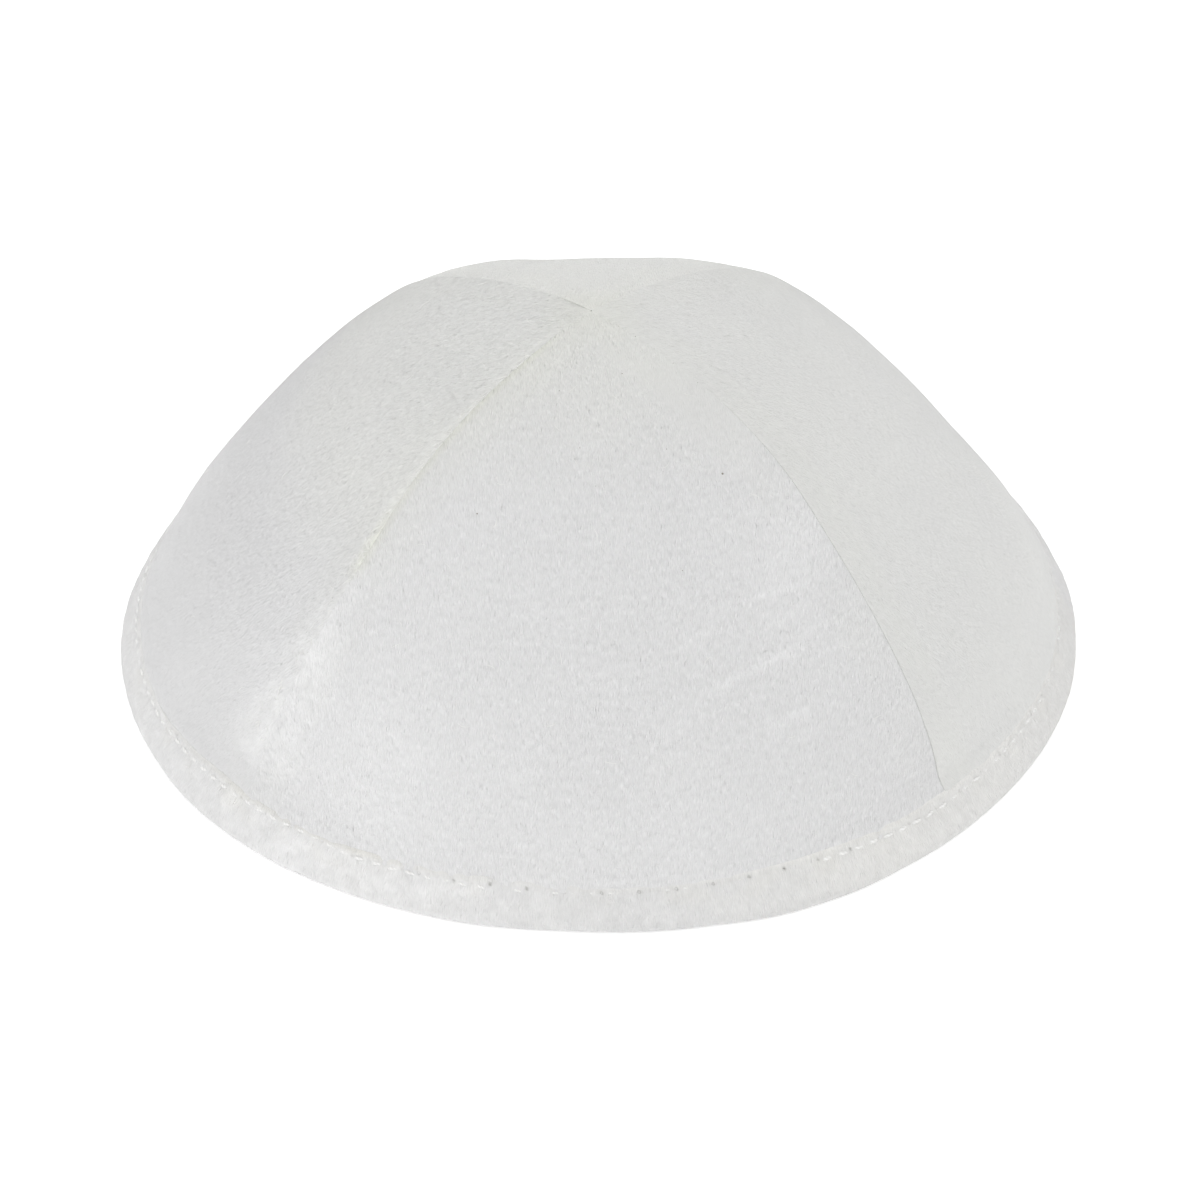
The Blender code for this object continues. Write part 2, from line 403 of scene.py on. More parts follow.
@dataclass(frozen=True)
class SewingThread:
    """White two-ply thread twisting round in slanted bands, with painted shade in the furrows."""

    name: str = "white_thread"
    colour: Colour = (0.77, 0.77, 0.765)
    furrow: Colour = (0.68, 0.675, 0.66)
    plies: float = 2.0
    twists: float = 4.0
    ply_height: float = 0.02 * MM

    def material(self) -> Material:
        """Builds the thread's material.

        Returns:
            A material that reads a UV map with U round the thread and V along it.
        """
        plain = {"Roughness": 0.62, "Specular IOR Level": 0.35, "Sheen Weight": 0.1}
        material, board, shader = new_material(self.name, plain)
        lay = board.add("ShaderNodeSeparateXYZ", {0: board.lay()}).outputs
        turns = board.plus(board.times(lay["X"], self.plies), board.times(lay["Y"], self.twists))
        wave = board.math("SINE", board.times(turns, TURN))
        ply = board.plus(board.times(wave, 0.5), 0.5)
        # The furrows between the plies get painted shade.
        board.give(shader["Base Color"], board.mix(ply, (*self.furrow, 1), (*self.colour, 1)))
        board.give(shader["Normal"], board.bump(ply, self.ply_height))
        return material


@dataclass(frozen=True)
class PlainMatt:
    """A matt surface whose colour drifts a little, for lint and for the studio's paper."""

    name: str
    colour: Colour
    drift: float
    grain: float
    roughness: float = 0.9
    glow: float = 0.0

    def material(self) -> Material:
        """Builds the material.

        Returns:
            A material that reads Object coordinates.
        """
        plain = {"Roughness": self.roughness, "Specular IOR Level": 0.1,
                 "Emission Color": (1.0, 1.0, 1.0, 1.0), "Emission Strength": self.glow}
        material, board, shader = new_material(self.name, plain)
        place = board.add("ShaderNodeTexCoord").outputs["Object"]
        mottle = board.noise(place, 1 / self.grain, 2.0).outputs[0]
        tone = board.plus(board.times(board.math("SUBTRACT", mottle, 0.5), self.drift), 1.0)
        board.give(shader["Base Color"], board.vector("SCALE", self.colour, tone))
        return material


Finish = Union[NappedCloth, SewingThread, PlainMatt]


class DressedPart:
    """A part of the cap that is dressed: it has a slot, and maybe a node that it stands for."""

    node: str
    slot: str

    def dress(self, piece: Object, finish: Finish) -> None:
        """Gives a piece its finish, puts it in its solid's place and reports it.

        Args:
            piece: The piece.
            finish: What it is made of.
        """
        piece.data.materials.append(finish.material())
        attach(piece, BODY)
        if self.node:
            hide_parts(self.node)
        log.info("%s: %d faces", piece.name, len(piece.data.polygons))


@dataclass(frozen=True)
class Section:
    """One level section of the dome, from the crown down to where the cloth tucks in.

    rise is the height over the tuck, as a share of the dome's rise. seam_reach is how far the
    seams stand from the axis, as a share of the dome's radius at the tuck. roundness is how much
    of a true circle's turn each gore makes across its width: 0 is flat, 1 is round.
    """

    rise: float
    seam_reach: float
    roundness: float


@dataclass(frozen=True)
class SeamCourse:
    """The way one seam runs from the crown to the rim, seen from above, in degrees from +X."""

    crown_deg: float
    rim_deg: float
    bow_deg: float = 0.0

    def angle(self, share: float) -> float:
        """Where the seam stands at a share of the way down, in radians."""
        lean = self.crown_deg + (self.rim_deg - self.crown_deg) * share
        return math.radians(lean + self.bow_deg * math.sin(math.pi * share))


@dataclass(frozen=True)
class Level:
    """One level line across a gore, from its first seam to its last."""

    share: float
    height: float
    shift: float
    reach: float
    middle: float
    half_angle: float
    half_turn: float

    @property
    def arc_radius(self) -> float:
        """The radius of the gore's arc at this level."""
        return self.reach * math.sin(self.half_angle) / math.sin(self.half_turn)

    @property
    def half_width(self) -> float:
        """Half of the gore's width along its arc."""
        return self.arc_radius * self.half_turn

    def point(self, across: float) -> Vector:
        """A point on the line.

        Args:
            across: Where it lies, from -1 at the first seam to 1 at the last.

        Returns:
            The point.
        """
        turn = self.half_turn * across
        outwards = self.reach * math.cos(self.half_angle)
        outwards += self.arc_radius * (math.cos(turn) - math.cos(self.half_turn))
        sideways = self.arc_radius * math.sin(turn)
        cos, sin = math.cos(self.middle), math.sin(self.middle)
        x = outwards * cos - sideways * sin + self.shift
        return Vector((x, outwards * sin + sideways * cos, self.height))

    def side(self, across: float) -> Vector:
        """The level way along the line at a point, towards its last seam."""
        turn = self.middle + self.half_turn * across
        return Vector((-math.sin(turn), math.cos(turn), 0.0))


@dataclass(frozen=True)
class RimStop:
    """How far the rim gives way outwards from its circle, in millimetres.

    place is in degrees from +X. foot is the fold that rests on the floor, lip the upper edge.
    """

    place: float
    foot: float
    lip: float


@dataclass(frozen=True)
class Dome:
    """The form that the four gores share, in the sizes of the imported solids."""

    sections: tuple[Section, ...] = table(
        Section,
        (1.00, 0.000, 0.41), (0.97, 0.190, 0.41), (0.90, 0.380, 0.48),
        (0.79, 0.540, 0.58), (0.64, 0.670, 0.65), (0.46, 0.800, 0.70),
        (0.28, 0.905, 0.78), (0.12, 0.970, 0.91), (0.00, 1.000, 1.00),
    )
    rim_stops: tuple[RimStop, ...] = table(
        RimStop,
        (0, 0.10, -0.40), (20, 0.10, -0.50), (50, 0.60, 0.00), (90, 0.00, 0.00),
        (130, 0.60, 0.00), (162, -0.20, -0.60), (186, 0.30, -0.30), (202, 0.40, 0.00),
        (219, 1.05, 0.00), (228, 0.95, 0.00), (241, 0.50, 0.00), (253, 0.28, 0.00),
        (266, -0.30, 0.00), (280, 0.40, 0.00), (291, 1.40, 0.00), (298, 1.30, 0.00),
        (308, 0.65, 0.00), (325, 0.15, 0.00), (342, 0.15, 0.00), (360, 0.10, -0.40),
    )
    height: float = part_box("panel_front")[1].z
    rim_radius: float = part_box("rim_band")[1].x
    band_height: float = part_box("rim_band")[1].z
    foot_allowance: float = 0.19 * MM
    band_flare: float = 4.0 * MM
    tuck_rise: float = 2.5 * MM
    lip_step: float = 0.4 * MM
    crown_shift: float = -0.8 * MM
    give_reach: float = 10 * MM
    least_turn: float = 0.001

    @property
    def tuck_level(self) -> float:
        """The height where the gores start to tuck in behind the binding."""
        return self.band_height + self.tuck_rise

    @property
    def foot_radius(self) -> float:
        """Where the binding's outer face would meet the floor without its rounding."""
        return self.rim_radius + self.foot_allowance

    @property
    def lip_radius(self) -> float:
        """The radius of the binding's outer face at its upper edge."""
        return self.foot_radius - self.band_flare

    @property
    def tuck_radius(self) -> float:
        """The radius of the gores where they start to tuck in."""
        return self.lip_radius - self.lip_step - self.band_flare * self.tuck_rise / self.band_height

    def give(self, angle: float, height: float) -> float:
        """How far the rim's outer side stands out from its circle.

        Args:
            angle: The angle round the rim in radians.
            height: The height over the floor.

        Returns:
            The distance outwards, which fades away over the binding.
        """
        over_lip = height - self.band_height
        if over_lip >= self.give_reach:
            return 0.0
        degrees = math.degrees(angle) % 360
        lip = between(self.rim_stops, "lip", degrees) * MM
        if over_lip >= 0:
            return lip * smooth_step(over_lip, self.give_reach, 0.0)
        foot = between(self.rim_stops, "foot", degrees) * MM
        return foot + (lip - foot) * height / self.band_height

    def section(self, share: float, column: str, at_crown: int = 1) -> float:
        """Reads a column of the sections on a smooth curve.

        Args:
            share: The share of the way down the table.
            column: The name of the column.
            at_crown: 1 for a value that is even across the crown, -1 for one that changes sign.

        Returns:
            The value there.
        """
        values = [getattr(section, column) for section in self.sections]
        last = len(values) - 1
        place = min(max(share, 0.0), 1.0) * last
        row = min(int(place), last - 1)
        t = place - row
        before = values[row - 1] if row else at_crown * values[1]
        after = values[row + 2] if row + 2 <= last else 2 * values[last] - values[last - 1]
        start_slope = (values[row + 1] - before) / 2
        end_slope = (after - values[row]) / 2
        rise = values[row + 1] - values[row]
        curve = start_slope * t + (3 * rise - 2 * start_slope - end_slope) * t**2
        return values[row] + curve + (start_slope + end_slope - 2 * rise) * t**3

    def level(self, share: float, seams: tuple, hem: Optional[tuple] = None) -> Level:
        """The level line of a gore.

        Args:
            share: The share of the way from the crown to the tuck.
            seams: The gore's seams, the first one and the last counted anticlockwise.
            hem: The line's height and radius, where it lies in the hem.

        Returns:
            The line.
        """
        if hem:
            height, reach = hem
            roundness = 1.0
        else:
            rise = self.section(share, "rise")
            height = self.tuck_level + (self.height - self.tuck_level) * rise
            reach = self.tuck_radius * self.section(share, "seam_reach", at_crown=-1)
            roundness = self.section(share, "roundness")
        start, end = (seam.angle(share) for seam in seams)
        if end < start:
            end += TURN
        half_angle = (end - start) / 2
        half_turn = max(roundness * half_angle, self.least_turn)
        shift = self.crown_shift * (1 - share) ** 4
        return Level(share, height, shift, reach, (start + end) / 2, half_angle, half_turn)


class LipForm(Enum):
    """How cloth beside a seam gets back down to the dome."""

    ROLLED = "rolled"
    STRIP = "strip"

    def rise(self, distance: float, reach: float) -> float:
        """The share of a lip's rise that is left at a distance from its seam."""
        rolled = self is LipForm.ROLLED
        return fade_out(distance, reach) if rolled else smooth_step(distance / reach, 1.0, 0.66)


@dataclass(frozen=True)
class SeamStop:
    """How a gore's cloth meets its seam at a share of the way down, in millimetres.

    slit is half of the gap between the two gores and roll the radius of the turned edge. rise is
    how far the cloth stands up beside the seam, or lies down where it is negative, and reach how
    wide that lip is. fluff is how lumpy its pile is, and the last column how much painted shade
    lies deep in the slit, in thousandths.
    """

    place: float
    slit: float
    roll: float
    rise: float
    reach: float
    fluff: float = 0.0
    slit_shade: float = 0.0


@dataclass(frozen=True)
class SeamEdge:
    """One edge of a gore, from the crown down."""

    form: LipForm
    stops: tuple[SeamStop, ...]

    def at(self, share: float) -> SeamStop:
        """The edge at a share of the way down, in metres."""
        columns = ("slit", "roll", "rise", "reach", "fluff", "slit_shade")
        return SeamStop(share, *(between(self.stops, column, share) * MM for column in columns))


PLAIN_EDGE = SeamEdge(LipForm.STRIP, table(
    SeamStop,
    (0.00, 0.00, 0.00, 0.00, 4.0),
    (0.12, 0.00, 0.00, 0.00, 7.0),
    (0.35, 0.00, 0.05, -0.10, 8.5),
    (0.60, 0.00, 0.26, 0.05, 8.5, 0.0, 200),
    (1.00, 0.01, 0.28, 0.12, 8.5, 0.0, 300),
))
# The back left seam opens a little beside the crown.
CROWN_EDGE = SeamEdge(LipForm.STRIP, table(
    SeamStop,
    (0.00, 0.00, 0.08, 0.00, 4.0, 0.0, 100),
    (0.02, 0.03, 0.26, 0.00, 4.0, 0.0, 400),
    (0.05, 0.04, 0.30, 0.00, 4.0, 0.0, 400),
    (0.07, 0.00, 0.00, 0.00, 6.0),
    (0.35, 0.00, 0.04, -0.15, 8.5),
    (0.60, 0.00, 0.26, -0.22, 8.5, 0.0, 200),
    (1.00, 0.01, 0.28, 0.12, 8.5, 0.0, 300),
))
# The front right seam is hidden near the crown and a fine groove further down.
CRISP_EDGE = SeamEdge(LipForm.STRIP, table(
    SeamStop,
    (0.00, 0.00, 0.00, 0.00, 4.0),
    (0.18, 0.00, 0.00, 0.10, 7.0),
    (0.28, 0.00, 0.12, 0.15, 8.5, 0.0, 50),
    (0.42, 0.00, 0.20, 0.20, 9.0, 0.0, 150),
    (0.75, 0.00, 0.22, 0.20, 9.0, 0.0, 200),
    (0.92, 0.01, 0.26, 0.18, 9.0, 0.0, 250),
    (1.00, 0.01, 0.24, 0.08, 9.0, 0.0, 200),
))
# The front left seam: the left gore stands over the front one in a fluffy lip. Further down both
# make one low ridge, and the nap hides the seam.
RAISED_EDGE = SeamEdge(LipForm.ROLLED, table(
    SeamStop,
    (0.00, 0.00, 0.00, 0.00, 3.0),
    (0.05, 0.00, 0.02, 0.02, 3.4, 0.1),
    (0.14, 0.00, 0.20, 0.26, 3.8, 0.2),
    (0.44, 0.00, 0.25, 0.33, 4.0, 0.3),
    (0.54, 0.00, 0.26, 0.40, 4.0, 0.6),
    (0.58, 0.00, 0.00, 0.28, 4.8, 0.3),
    (0.70, 0.00, 0.00, 0.45, 9.0, 0.3),
    (0.88, 0.00, 0.00, 0.40, 13.0, 0.3),
    (1.00, 0.00, 0.05, 0.00, 7.0),
))
SUNK_EDGE = SeamEdge(LipForm.ROLLED, table(
    SeamStop,
    (0.00, 0.00, 0.00, 0.00, 1.2),
    (0.14, 0.00, 0.00, 0.06, 1.2),
    (0.44, 0.00, 0.00, 0.08, 1.2),
    (0.52, 0.00, 0.00, 0.14, 1.8, 0.1),
    (0.59, 0.00, 0.00, 0.28, 5.0, 0.3),
    (0.70, 0.00, 0.00, 0.45, 9.0, 0.3),
    (0.88, 0.00, 0.00, 0.40, 13.0, 0.3),
    (1.00, 0.00, 0.05, 0.00, 7.0),
))


@dataclass(frozen=True)
class Fold:
    """A soft ridge or hollow in a gore's cloth.

    share and across place its middle. length, width and rise are millimetres. turn_deg turns it
    from lying level, anticlockwise as seen from outside, and bow bends its ends down.
    """

    share: float
    across: float
    length: float
    width: float
    rise: float
    turn_deg: float = 0.0
    bow: float = 0.0

    @property
    def span(self) -> float:
        """How far up and down the fold can reach, in metres."""
        slant = abs(math.sin(math.radians(self.turn_deg)))
        return (self.length / 2 * slant + 3 * self.width + abs(self.bow)) * MM

    def lift(self, sideways: float, down: float) -> float:
        """How far the fold lifts the cloth.

        Args:
            sideways: The distance from the fold's middle towards the last seam.
            down: The distance from its middle towards the rim.

        Returns:
            The lift in metres.
        """
        turn = math.radians(self.turn_deg)
        along = (sideways * math.cos(turn) - down * math.sin(turn)) / MM
        if abs(along) >= self.length / 2:
            return 0.0
        off = (sideways * math.sin(turn) + down * math.cos(turn)) / MM
        off -= self.bow * (2 * along / self.length) ** 2
        if abs(off) > 3 * self.width:
            return 0.0
        return self.rise * MM * bell(off, self.width) * fade_out(along, self.length / 2)


@dataclass(frozen=True)
class PaintedLightPatch:
    """A patch of painted light on the nap, or of painted shade where its tone is below 0.

    share and across place its middle and spread is how far it goes, in millimetres. tone is how
    much lighter it is painted: the height of a tuft that would look as light, in millimetres.
    """

    share: float
    across: float
    spread: float
    tone: float


# The small level creases at the right, rough tufts at the left, then two broad soft folds.
FRONT_FOLDS = table(
    Fold,
    (0.555, 0.70, 17, 0.8, 0.24, 4, 0.6), (0.563, 0.47, 9, 0.7, 0.18, 14),
    (0.593, 0.70, 12, 0.8, 0.39, 16, -0.8), (0.622, 0.78, 11, 0.8, 0.27, 8),
    (0.600, 0.36, 10, 0.8, 0.18, 10), (0.651, 0.60, 18, 0.9, 0.39, 13, 0.9),
    (0.656, 0.82, 10, 0.7, 0.24, 2), (0.668, 0.41, 13, 0.8, 0.30, 18),
    (0.703, 0.50, 9, 0.7, 0.18, 8), (0.720, 0.25, 10, 0.8, 0.24, 20),
    (0.740, 0.60, 12, 0.8, 0.27, 14), (0.80, -0.54, 9, 1.4, 0.16, 35),
    (0.77, -0.60, 7, 1.1, 0.15, -20), (0.745, -0.49, 6, 1.0, 0.14, 10),
    (0.81, -0.23, 9, 1.2, 0.15, 25), (0.50, -0.20, 70, 14, 0.25, 80),
    (0.60, 0.55, 60, 12, -0.20, 60),
)
LEFT_FOLDS = table(
    Fold,
    (0.62, 0.30, 60, 8, -0.45, 72), (0.45, 0.00, 55, 9, 0.35, 80),
    (0.36, 0.52, 38, 7, -0.30, -78), (0.80, 0.60, 40, 7, 0.30, 70),
    (0.73, 0.82, 8, 1.2, 0.22, -30), (0.76, 0.78, 7, 1.1, 0.20, 25),
    (0.70, 0.86, 6, 1.0, 0.20, -10),
)
RIGHT_FOLDS = table(
    Fold,
    (0.45, -0.30, 60, 9, -0.25, -75), (0.60, 0.10, 60, 10, 0.25, -85),
    (0.80, -0.45, 30, 7, -0.20, -60), (0.86, 0.52, 34, 9, -0.42),
    (0.04, -0.35, 2.4, 0.8, 0.22), (0.078, -0.77, 2.2, 0.8, 0.18),
)
BACK_FOLDS = table(
    Fold,
    (0.37, 0.00, 38, 9, -0.85), (0.37, 0.55, 26, 9, 0.45), (0.60, 0.20, 60, 10, -0.25, 80),
    (0.70, -0.40, 50, 9, 0.25, -80), (0.415, 0.76, 22, 7, 0.40),
)
# Patches of painted light and shade on each gore's nap.
FRONT_PAINTED_LIGHT = table(
    PaintedLightPatch,
    (0.82, -0.68, 21, 0.27), (0.97, -0.10, 20, 0.08), (0.95, 0.30, 12, 0.12), (0.50, 0.86, 8, 0.24),
)
LEFT_PAINTED_LIGHT = table(
    PaintedLightPatch,
    (0.88, 0.15, 34, -0.42), (0.97, 0.72, 9, -0.16), (0.30, 0.30, 16, -0.12), (0.80, 0.95, 8, 0.16),
)
BACK_PAINTED_LIGHT = table(PaintedLightPatch, (0.28, -0.30, 26, 0.14), (0.42, 0.62, 12, 0.18))


@dataclass
class Gore(DressedPart):
    """One gore of napped cloth, from its tip at the crown to its hem in the binding.

    seams and edges are the first and the last, counted anticlockwise. The creams say how warm
    the cloth is; beside a sunk edge they also tint the painted shadow in the lee of the lip, and
    a lip that stands up gets a painted highlight. pressed, flat and low_flat say how much of the
    nap lies flat beside the last seam, all over and low down. A pair that a share or a distance
    is eased over gives its low end and its high end.
    """

    name: str
    node: str
    dome: Dome
    seams: tuple[SeamCourse, SeamCourse]
    edges: tuple[SeamEdge, SeamEdge]
    folds: tuple[Fold, ...]
    painted_light_patches: tuple[PaintedLightPatch, ...]
    seed: float
    upper_cream: float
    lower_cream: float
    cream_fade: Pair = (0.40, 0.62)
    crown_cream: float = 0.35
    seam_cream: float = 0.10
    pressed: float = 0.0
    flat: float = 0.0
    low_flat: float = 0.0
    slot: str = "panel_cloth"
    swell: Lumps = Lumps(0.22, 21, 0)
    waver: Lumps = Lumps(0.07, 6.5, 3)
    grain: Lumps = Lumps(0.025, 2.4, 5)
    pucker: Lumps = Lumps(0.22, 9, 7)
    pucker_share: float = 0.955
    pucker_width: float = 0.03
    fluff_size: float = 2.6 * MM
    fine_fluff: float = 0.6
    lip_highlight: float = 0.8
    lip_top: Pair = (0.05, 0.12)
    lip_end: Pair = (0.57, 0.53)
    lee_end: Pair = (0.56, 0.50)
    fraying: Pair = (0.40, 0.50)
    off_seam: Pair = (0.3 * MM, 5 * MM)
    crown_span: Pair = (11 * MM, 3 * MM)
    seam_span: Pair = (10 * MM, 6 * MM)
    pressed_span: Pair = (12 * MM, 7 * MM)
    slit_span: Pair = (0.15 * MM, 0.6 * MM)
    lee_shadow_tint: Spread = Spread(0.65, 1.8)
    lee_shadow_halo: Spread = Spread(0.20, 9)
    raised_cream: Spread = Spread(0.10, 2.6)
    frayed_cream: Spread = Spread(0.70, 2.6)
    lee_core: Spread = Spread(0.035, 1.0)
    lee_edge: Spread = Spread(0.020, 3.2)
    crease_width: float = 3.0
    cloth: float = 1.2 * MM
    edge_depth: float = 1.1 * MM
    rows: int = 140
    hem_rows: int = 12
    roll_columns: int = 6
    half_columns: int = 77
    edge_hold: float = 0.002
    tip_width: float = 0.15 * MM
    hem_gap: float = -0.05 * MM
    hem_drop: float = 4.5 * MM

    def line_at(self, share: float) -> Level:
        """The gore's level line at a share of the way down the dome."""
        return self.dome.level(share, self.seams)

    def levels(self) -> list[Level]:
        """The level lines from the crown down to the raw edge in the binding.

        Returns:
            The lines, evenly spaced down the dome and closer in the hem.
        """
        step = 1.0 / self.rows
        start = step
        while self.line_at(start * 0.5).half_width > self.tip_width:
            start *= 0.5
        lines = [self.line_at(start)]
        lines += [self.line_at(step * row) for row in range(1, self.rows + 1)]
        for row in range(1, self.hem_rows + 1):
            height = self.dome.tuck_level - self.hem_drop * (row / self.hem_rows)
            lines.append(self.dome.level(1.0, self.seams, (height, self.hem_radius(height))))
        return lines

    def hem_radius(self, height: float) -> float:
        """How far out the hem stands, turning in from the dome to behind the binding's lip.

        Args:
            height: The height over the floor.

        Returns:
            The radius.
        """
        dome = self.dome
        slope = dome.band_flare / dome.band_height
        near_lip = smooth_step(height, dome.band_height - 0.8 * MM, dome.band_height)
        depth = Binding.leg_thickness - 0.12 * MM * near_lip + self.hem_gap
        behind = dome.lip_radius + (dome.band_height - height) * slope
        behind -= depth * math.hypot(1, slope)
        along = dome.tuck_radius + (dome.tuck_level - height) * slope
        inside = smooth_step(height, dome.tuck_level, dome.band_height + 0.8 * MM)
        return along + (behind - along) * inside

    def columns(self) -> list[tuple[int, float, float]]:
        """The columns from the first seam to the last, close together at both.

        Returns:
            For each one its side, -1, 0 or 1, how much of the edge's quarter turn is done there,
            and the share of the way from the edge to the middle, on top.
        """
        edge = [(index / self.roll_columns, 0.0) for index in range(self.roll_columns)]
        face = [(1.0, index / self.half_columns) for index in range(self.half_columns)]
        half = edge + face[:1] + [(1.0, self.edge_hold)] + face[1:]
        first = [(-1, turned, inwards) for turned, inwards in half]
        last = [(1, turned, inwards) for turned, inwards in reversed(half)]
        return first + [(0, 1.0, 1.0)] + last

    def spot(self, level: Level, stops: tuple, column: tuple) -> Pair:
        """Where a column crosses a level line.

        Args:
            level: The line.
            stops: Both edges at this level, the first seam's and then the last one's.
            column: The column.

        Returns:
            How far across it lies, from -1 to 1, and how far it is sunk in the seam.
        """
        side, turned, inwards = column
        stop = stops[side > 0]
        half_width = level.half_width
        slit = min(stop.slit, 0.2 * half_width)
        roll = min(stop.roll, 0.3 * half_width)
        angle = turned * math.pi / 2
        distance = slit + roll * (1 - math.cos(angle))
        sunk = roll * (1 - math.sin(angle)) if turned else max(self.edge_depth, roll)
        spread = 0.45 * inwards + 0.55 * inwards**1.5
        distance += (half_width - distance) * spread
        return (1 - distance / half_width) * side, sunk

    def into_cloth(self, level: Level, across: float, normal: Vector) -> Vector:
        """The way into the cloth, turned towards the seam's own plane near a seam.

        Args:
            level: The line that the point is on.
            across: How far across it lies.
            normal: The cloth's outward normal there.

        Returns:
            A unit vector that points into the cap.
        """
        side = 1 if across > 0 else -1
        near = smooth_step((1 - abs(across)) * level.half_width, 2.5 * MM, 0.0)
        angle = level.middle + side * level.half_angle
        off_plane = Vector((-math.sin(angle), math.cos(angle), 0.0))
        return -(normal - off_plane * normal.dot(off_plane) * near).normalized()

    def relief(
        self, level: Level, stops: tuple, folds: list, across: float, down: float, place: Vector
    ) -> Pair:
        """How far the cloth stands over the even dome, and its small forms' painted light and shade.

        Args:
            level: The line that the point is on.
            stops: Both edges at this level.
            folds: The folds that reach this level, each with the place of its middle.
            across: How far across the point lies.
            down: How far down the middle of the gore the line is.
            place: The point on the even dome.

        Returns:
            The height in metres, and the small forms' height with a lip's painted highlight added,
            in metres, which the colour paints as light on ridges and as shade in creases.
        """
        sideways = across * level.half_width
        crest_and_shading = self.grain.at(place, self.seed)
        lift = self.swell.at(place, self.seed) + self.waver.at(place, self.seed)
        glow = 0.0
        for fold, fold_sideways, fold_down in folds:
            raised = fold.lift(sideways - fold_sideways, down - fold_down)
            if fold.width < self.crease_width:
                crest_and_shading += raised
            else:
                lift += raised
        apart = smooth_step((1 - abs(across)) * level.half_width, *self.off_seam)
        lift *= apart
        crest_and_shading *= apart
        for stop, edge, side in zip(stops, self.edges, (-1, 1)):
            distance = (1 - side * across) * level.half_width
            if distance < stop.reach:
                share = edge.form.rise(distance, stop.reach)
                lift += stop.rise * share
                if stop.fluff > 0:
                    tufts = ripple(place, self.fluff_size, 11.0)
                    tufts += self.fine_fluff * ripple(place, self.fluff_size / 2, 17.0)
                    crest_and_shading += stop.fluff * share * tufts
                # A lip that stands up gets a painted highlight.
                if edge.form is LipForm.ROLLED:
                    glow += self.lip_highlight * max(stop.rise, 0.0) * share
        calm = smooth_step(level.share, 0.0, 0.03) * smooth_step(level.share, 1.0, 0.94)
        pucker = self.pucker.at(Vector((sideways, 0.0, self.seed)))
        pucker *= bell(level.share - self.pucker_share, self.pucker_width)
        return (lift + crest_and_shading) * calm + pucker, (crest_and_shading + glow) * calm

    def warmth(self, level: Level, across: float, down: float) -> float:
        """How creamy the cloth is: most at the crown and in a strip along each seam.

        Beside a sunk edge it is also the creamy tint of the painted shadow in the lee of the lip.

        Args:
            level: The line that the point is on.
            across: How far across it lies.
            down: How far down the gore the line is.

        Returns:
            A share, 0 where the cloth is coolest.
        """
        upper = smooth_step(level.share, self.cream_fade[1], self.cream_fade[0])
        even = self.lower_cream + (self.upper_cream - self.lower_cream) * upper
        even += self.crown_cream * smooth_step(down, *self.crown_span)
        distance = (1 - abs(across)) * level.half_width
        even += self.seam_cream * smooth_step(distance, *self.seam_span)
        lip = smooth_step(level.share, *self.lip_top) * smooth_step(level.share, *self.lip_end)
        # Beside the sunk edge the cream tints the painted shadow in the lee of the lip.
        if self.edges[0] is SUNK_EDGE and across < 0:
            even += (self.lee_shadow_tint.fade(distance) + self.lee_shadow_halo.fade(distance)) * lip
        if self.edges[1] is RAISED_EDGE and across > 0:
            frayed = self.frayed_cream.fade(distance) * smooth_step(level.share, *self.fraying)
            even += (self.raised_cream.fade(distance) + frayed) * lip
        return even

    def lee(self, level: Level, across: float) -> float:
        """How dark the cloth lies in the lee of a lip that stands over its first seam.

        Args:
            level: The line that the point is on.
            across: How far across it lies.

        Returns:
            The shade from 0 to 1.
        """
        if self.edges[0] is not SUNK_EDGE:
            return 0.0
        distance = (1 + across) * level.half_width
        beside_lip = smooth_step(level.share, *self.lip_top)
        beside_lip *= smooth_step(level.share, *self.lee_end)
        return (self.lee_core.fade(distance) + self.lee_edge.fade(distance)) * beside_lip

    def sleek(self, level: Level, across: float) -> float:
        """How much of the nap lies flat: in a smooth place beside the last seam, and low down.

        Args:
            level: The line that the point is on.
            across: How far across it lies.

        Returns:
            The share that lies flat.
        """
        beside = smooth_step((1 - across) * level.half_width, *self.pressed_span)
        beside *= bell(level.share - 0.22, 0.12)
        low = smooth_step(level.share, 0.60, 0.90) * self.low_flat
        return max(self.pressed * beside, low, self.flat)

    def placed(self, forms: tuple, levels: list[Level], downs: list[float]) -> list[tuple]:
        """Folds or patches of painted light, each with how far sideways and down its middle lies.

        Args:
            forms: The folds or the patches of painted light.
            levels: The gore's lines.
            downs: How far down each line is.

        Returns:
            The forms with their places in metres.
        """
        found = []
        for form in forms:
            row = min(range(self.rows + 1), key=lambda row: abs(levels[row].share - form.share))
            found.append((form, form.across * self.line_at(form.share).half_width, downs[row]))
        return found

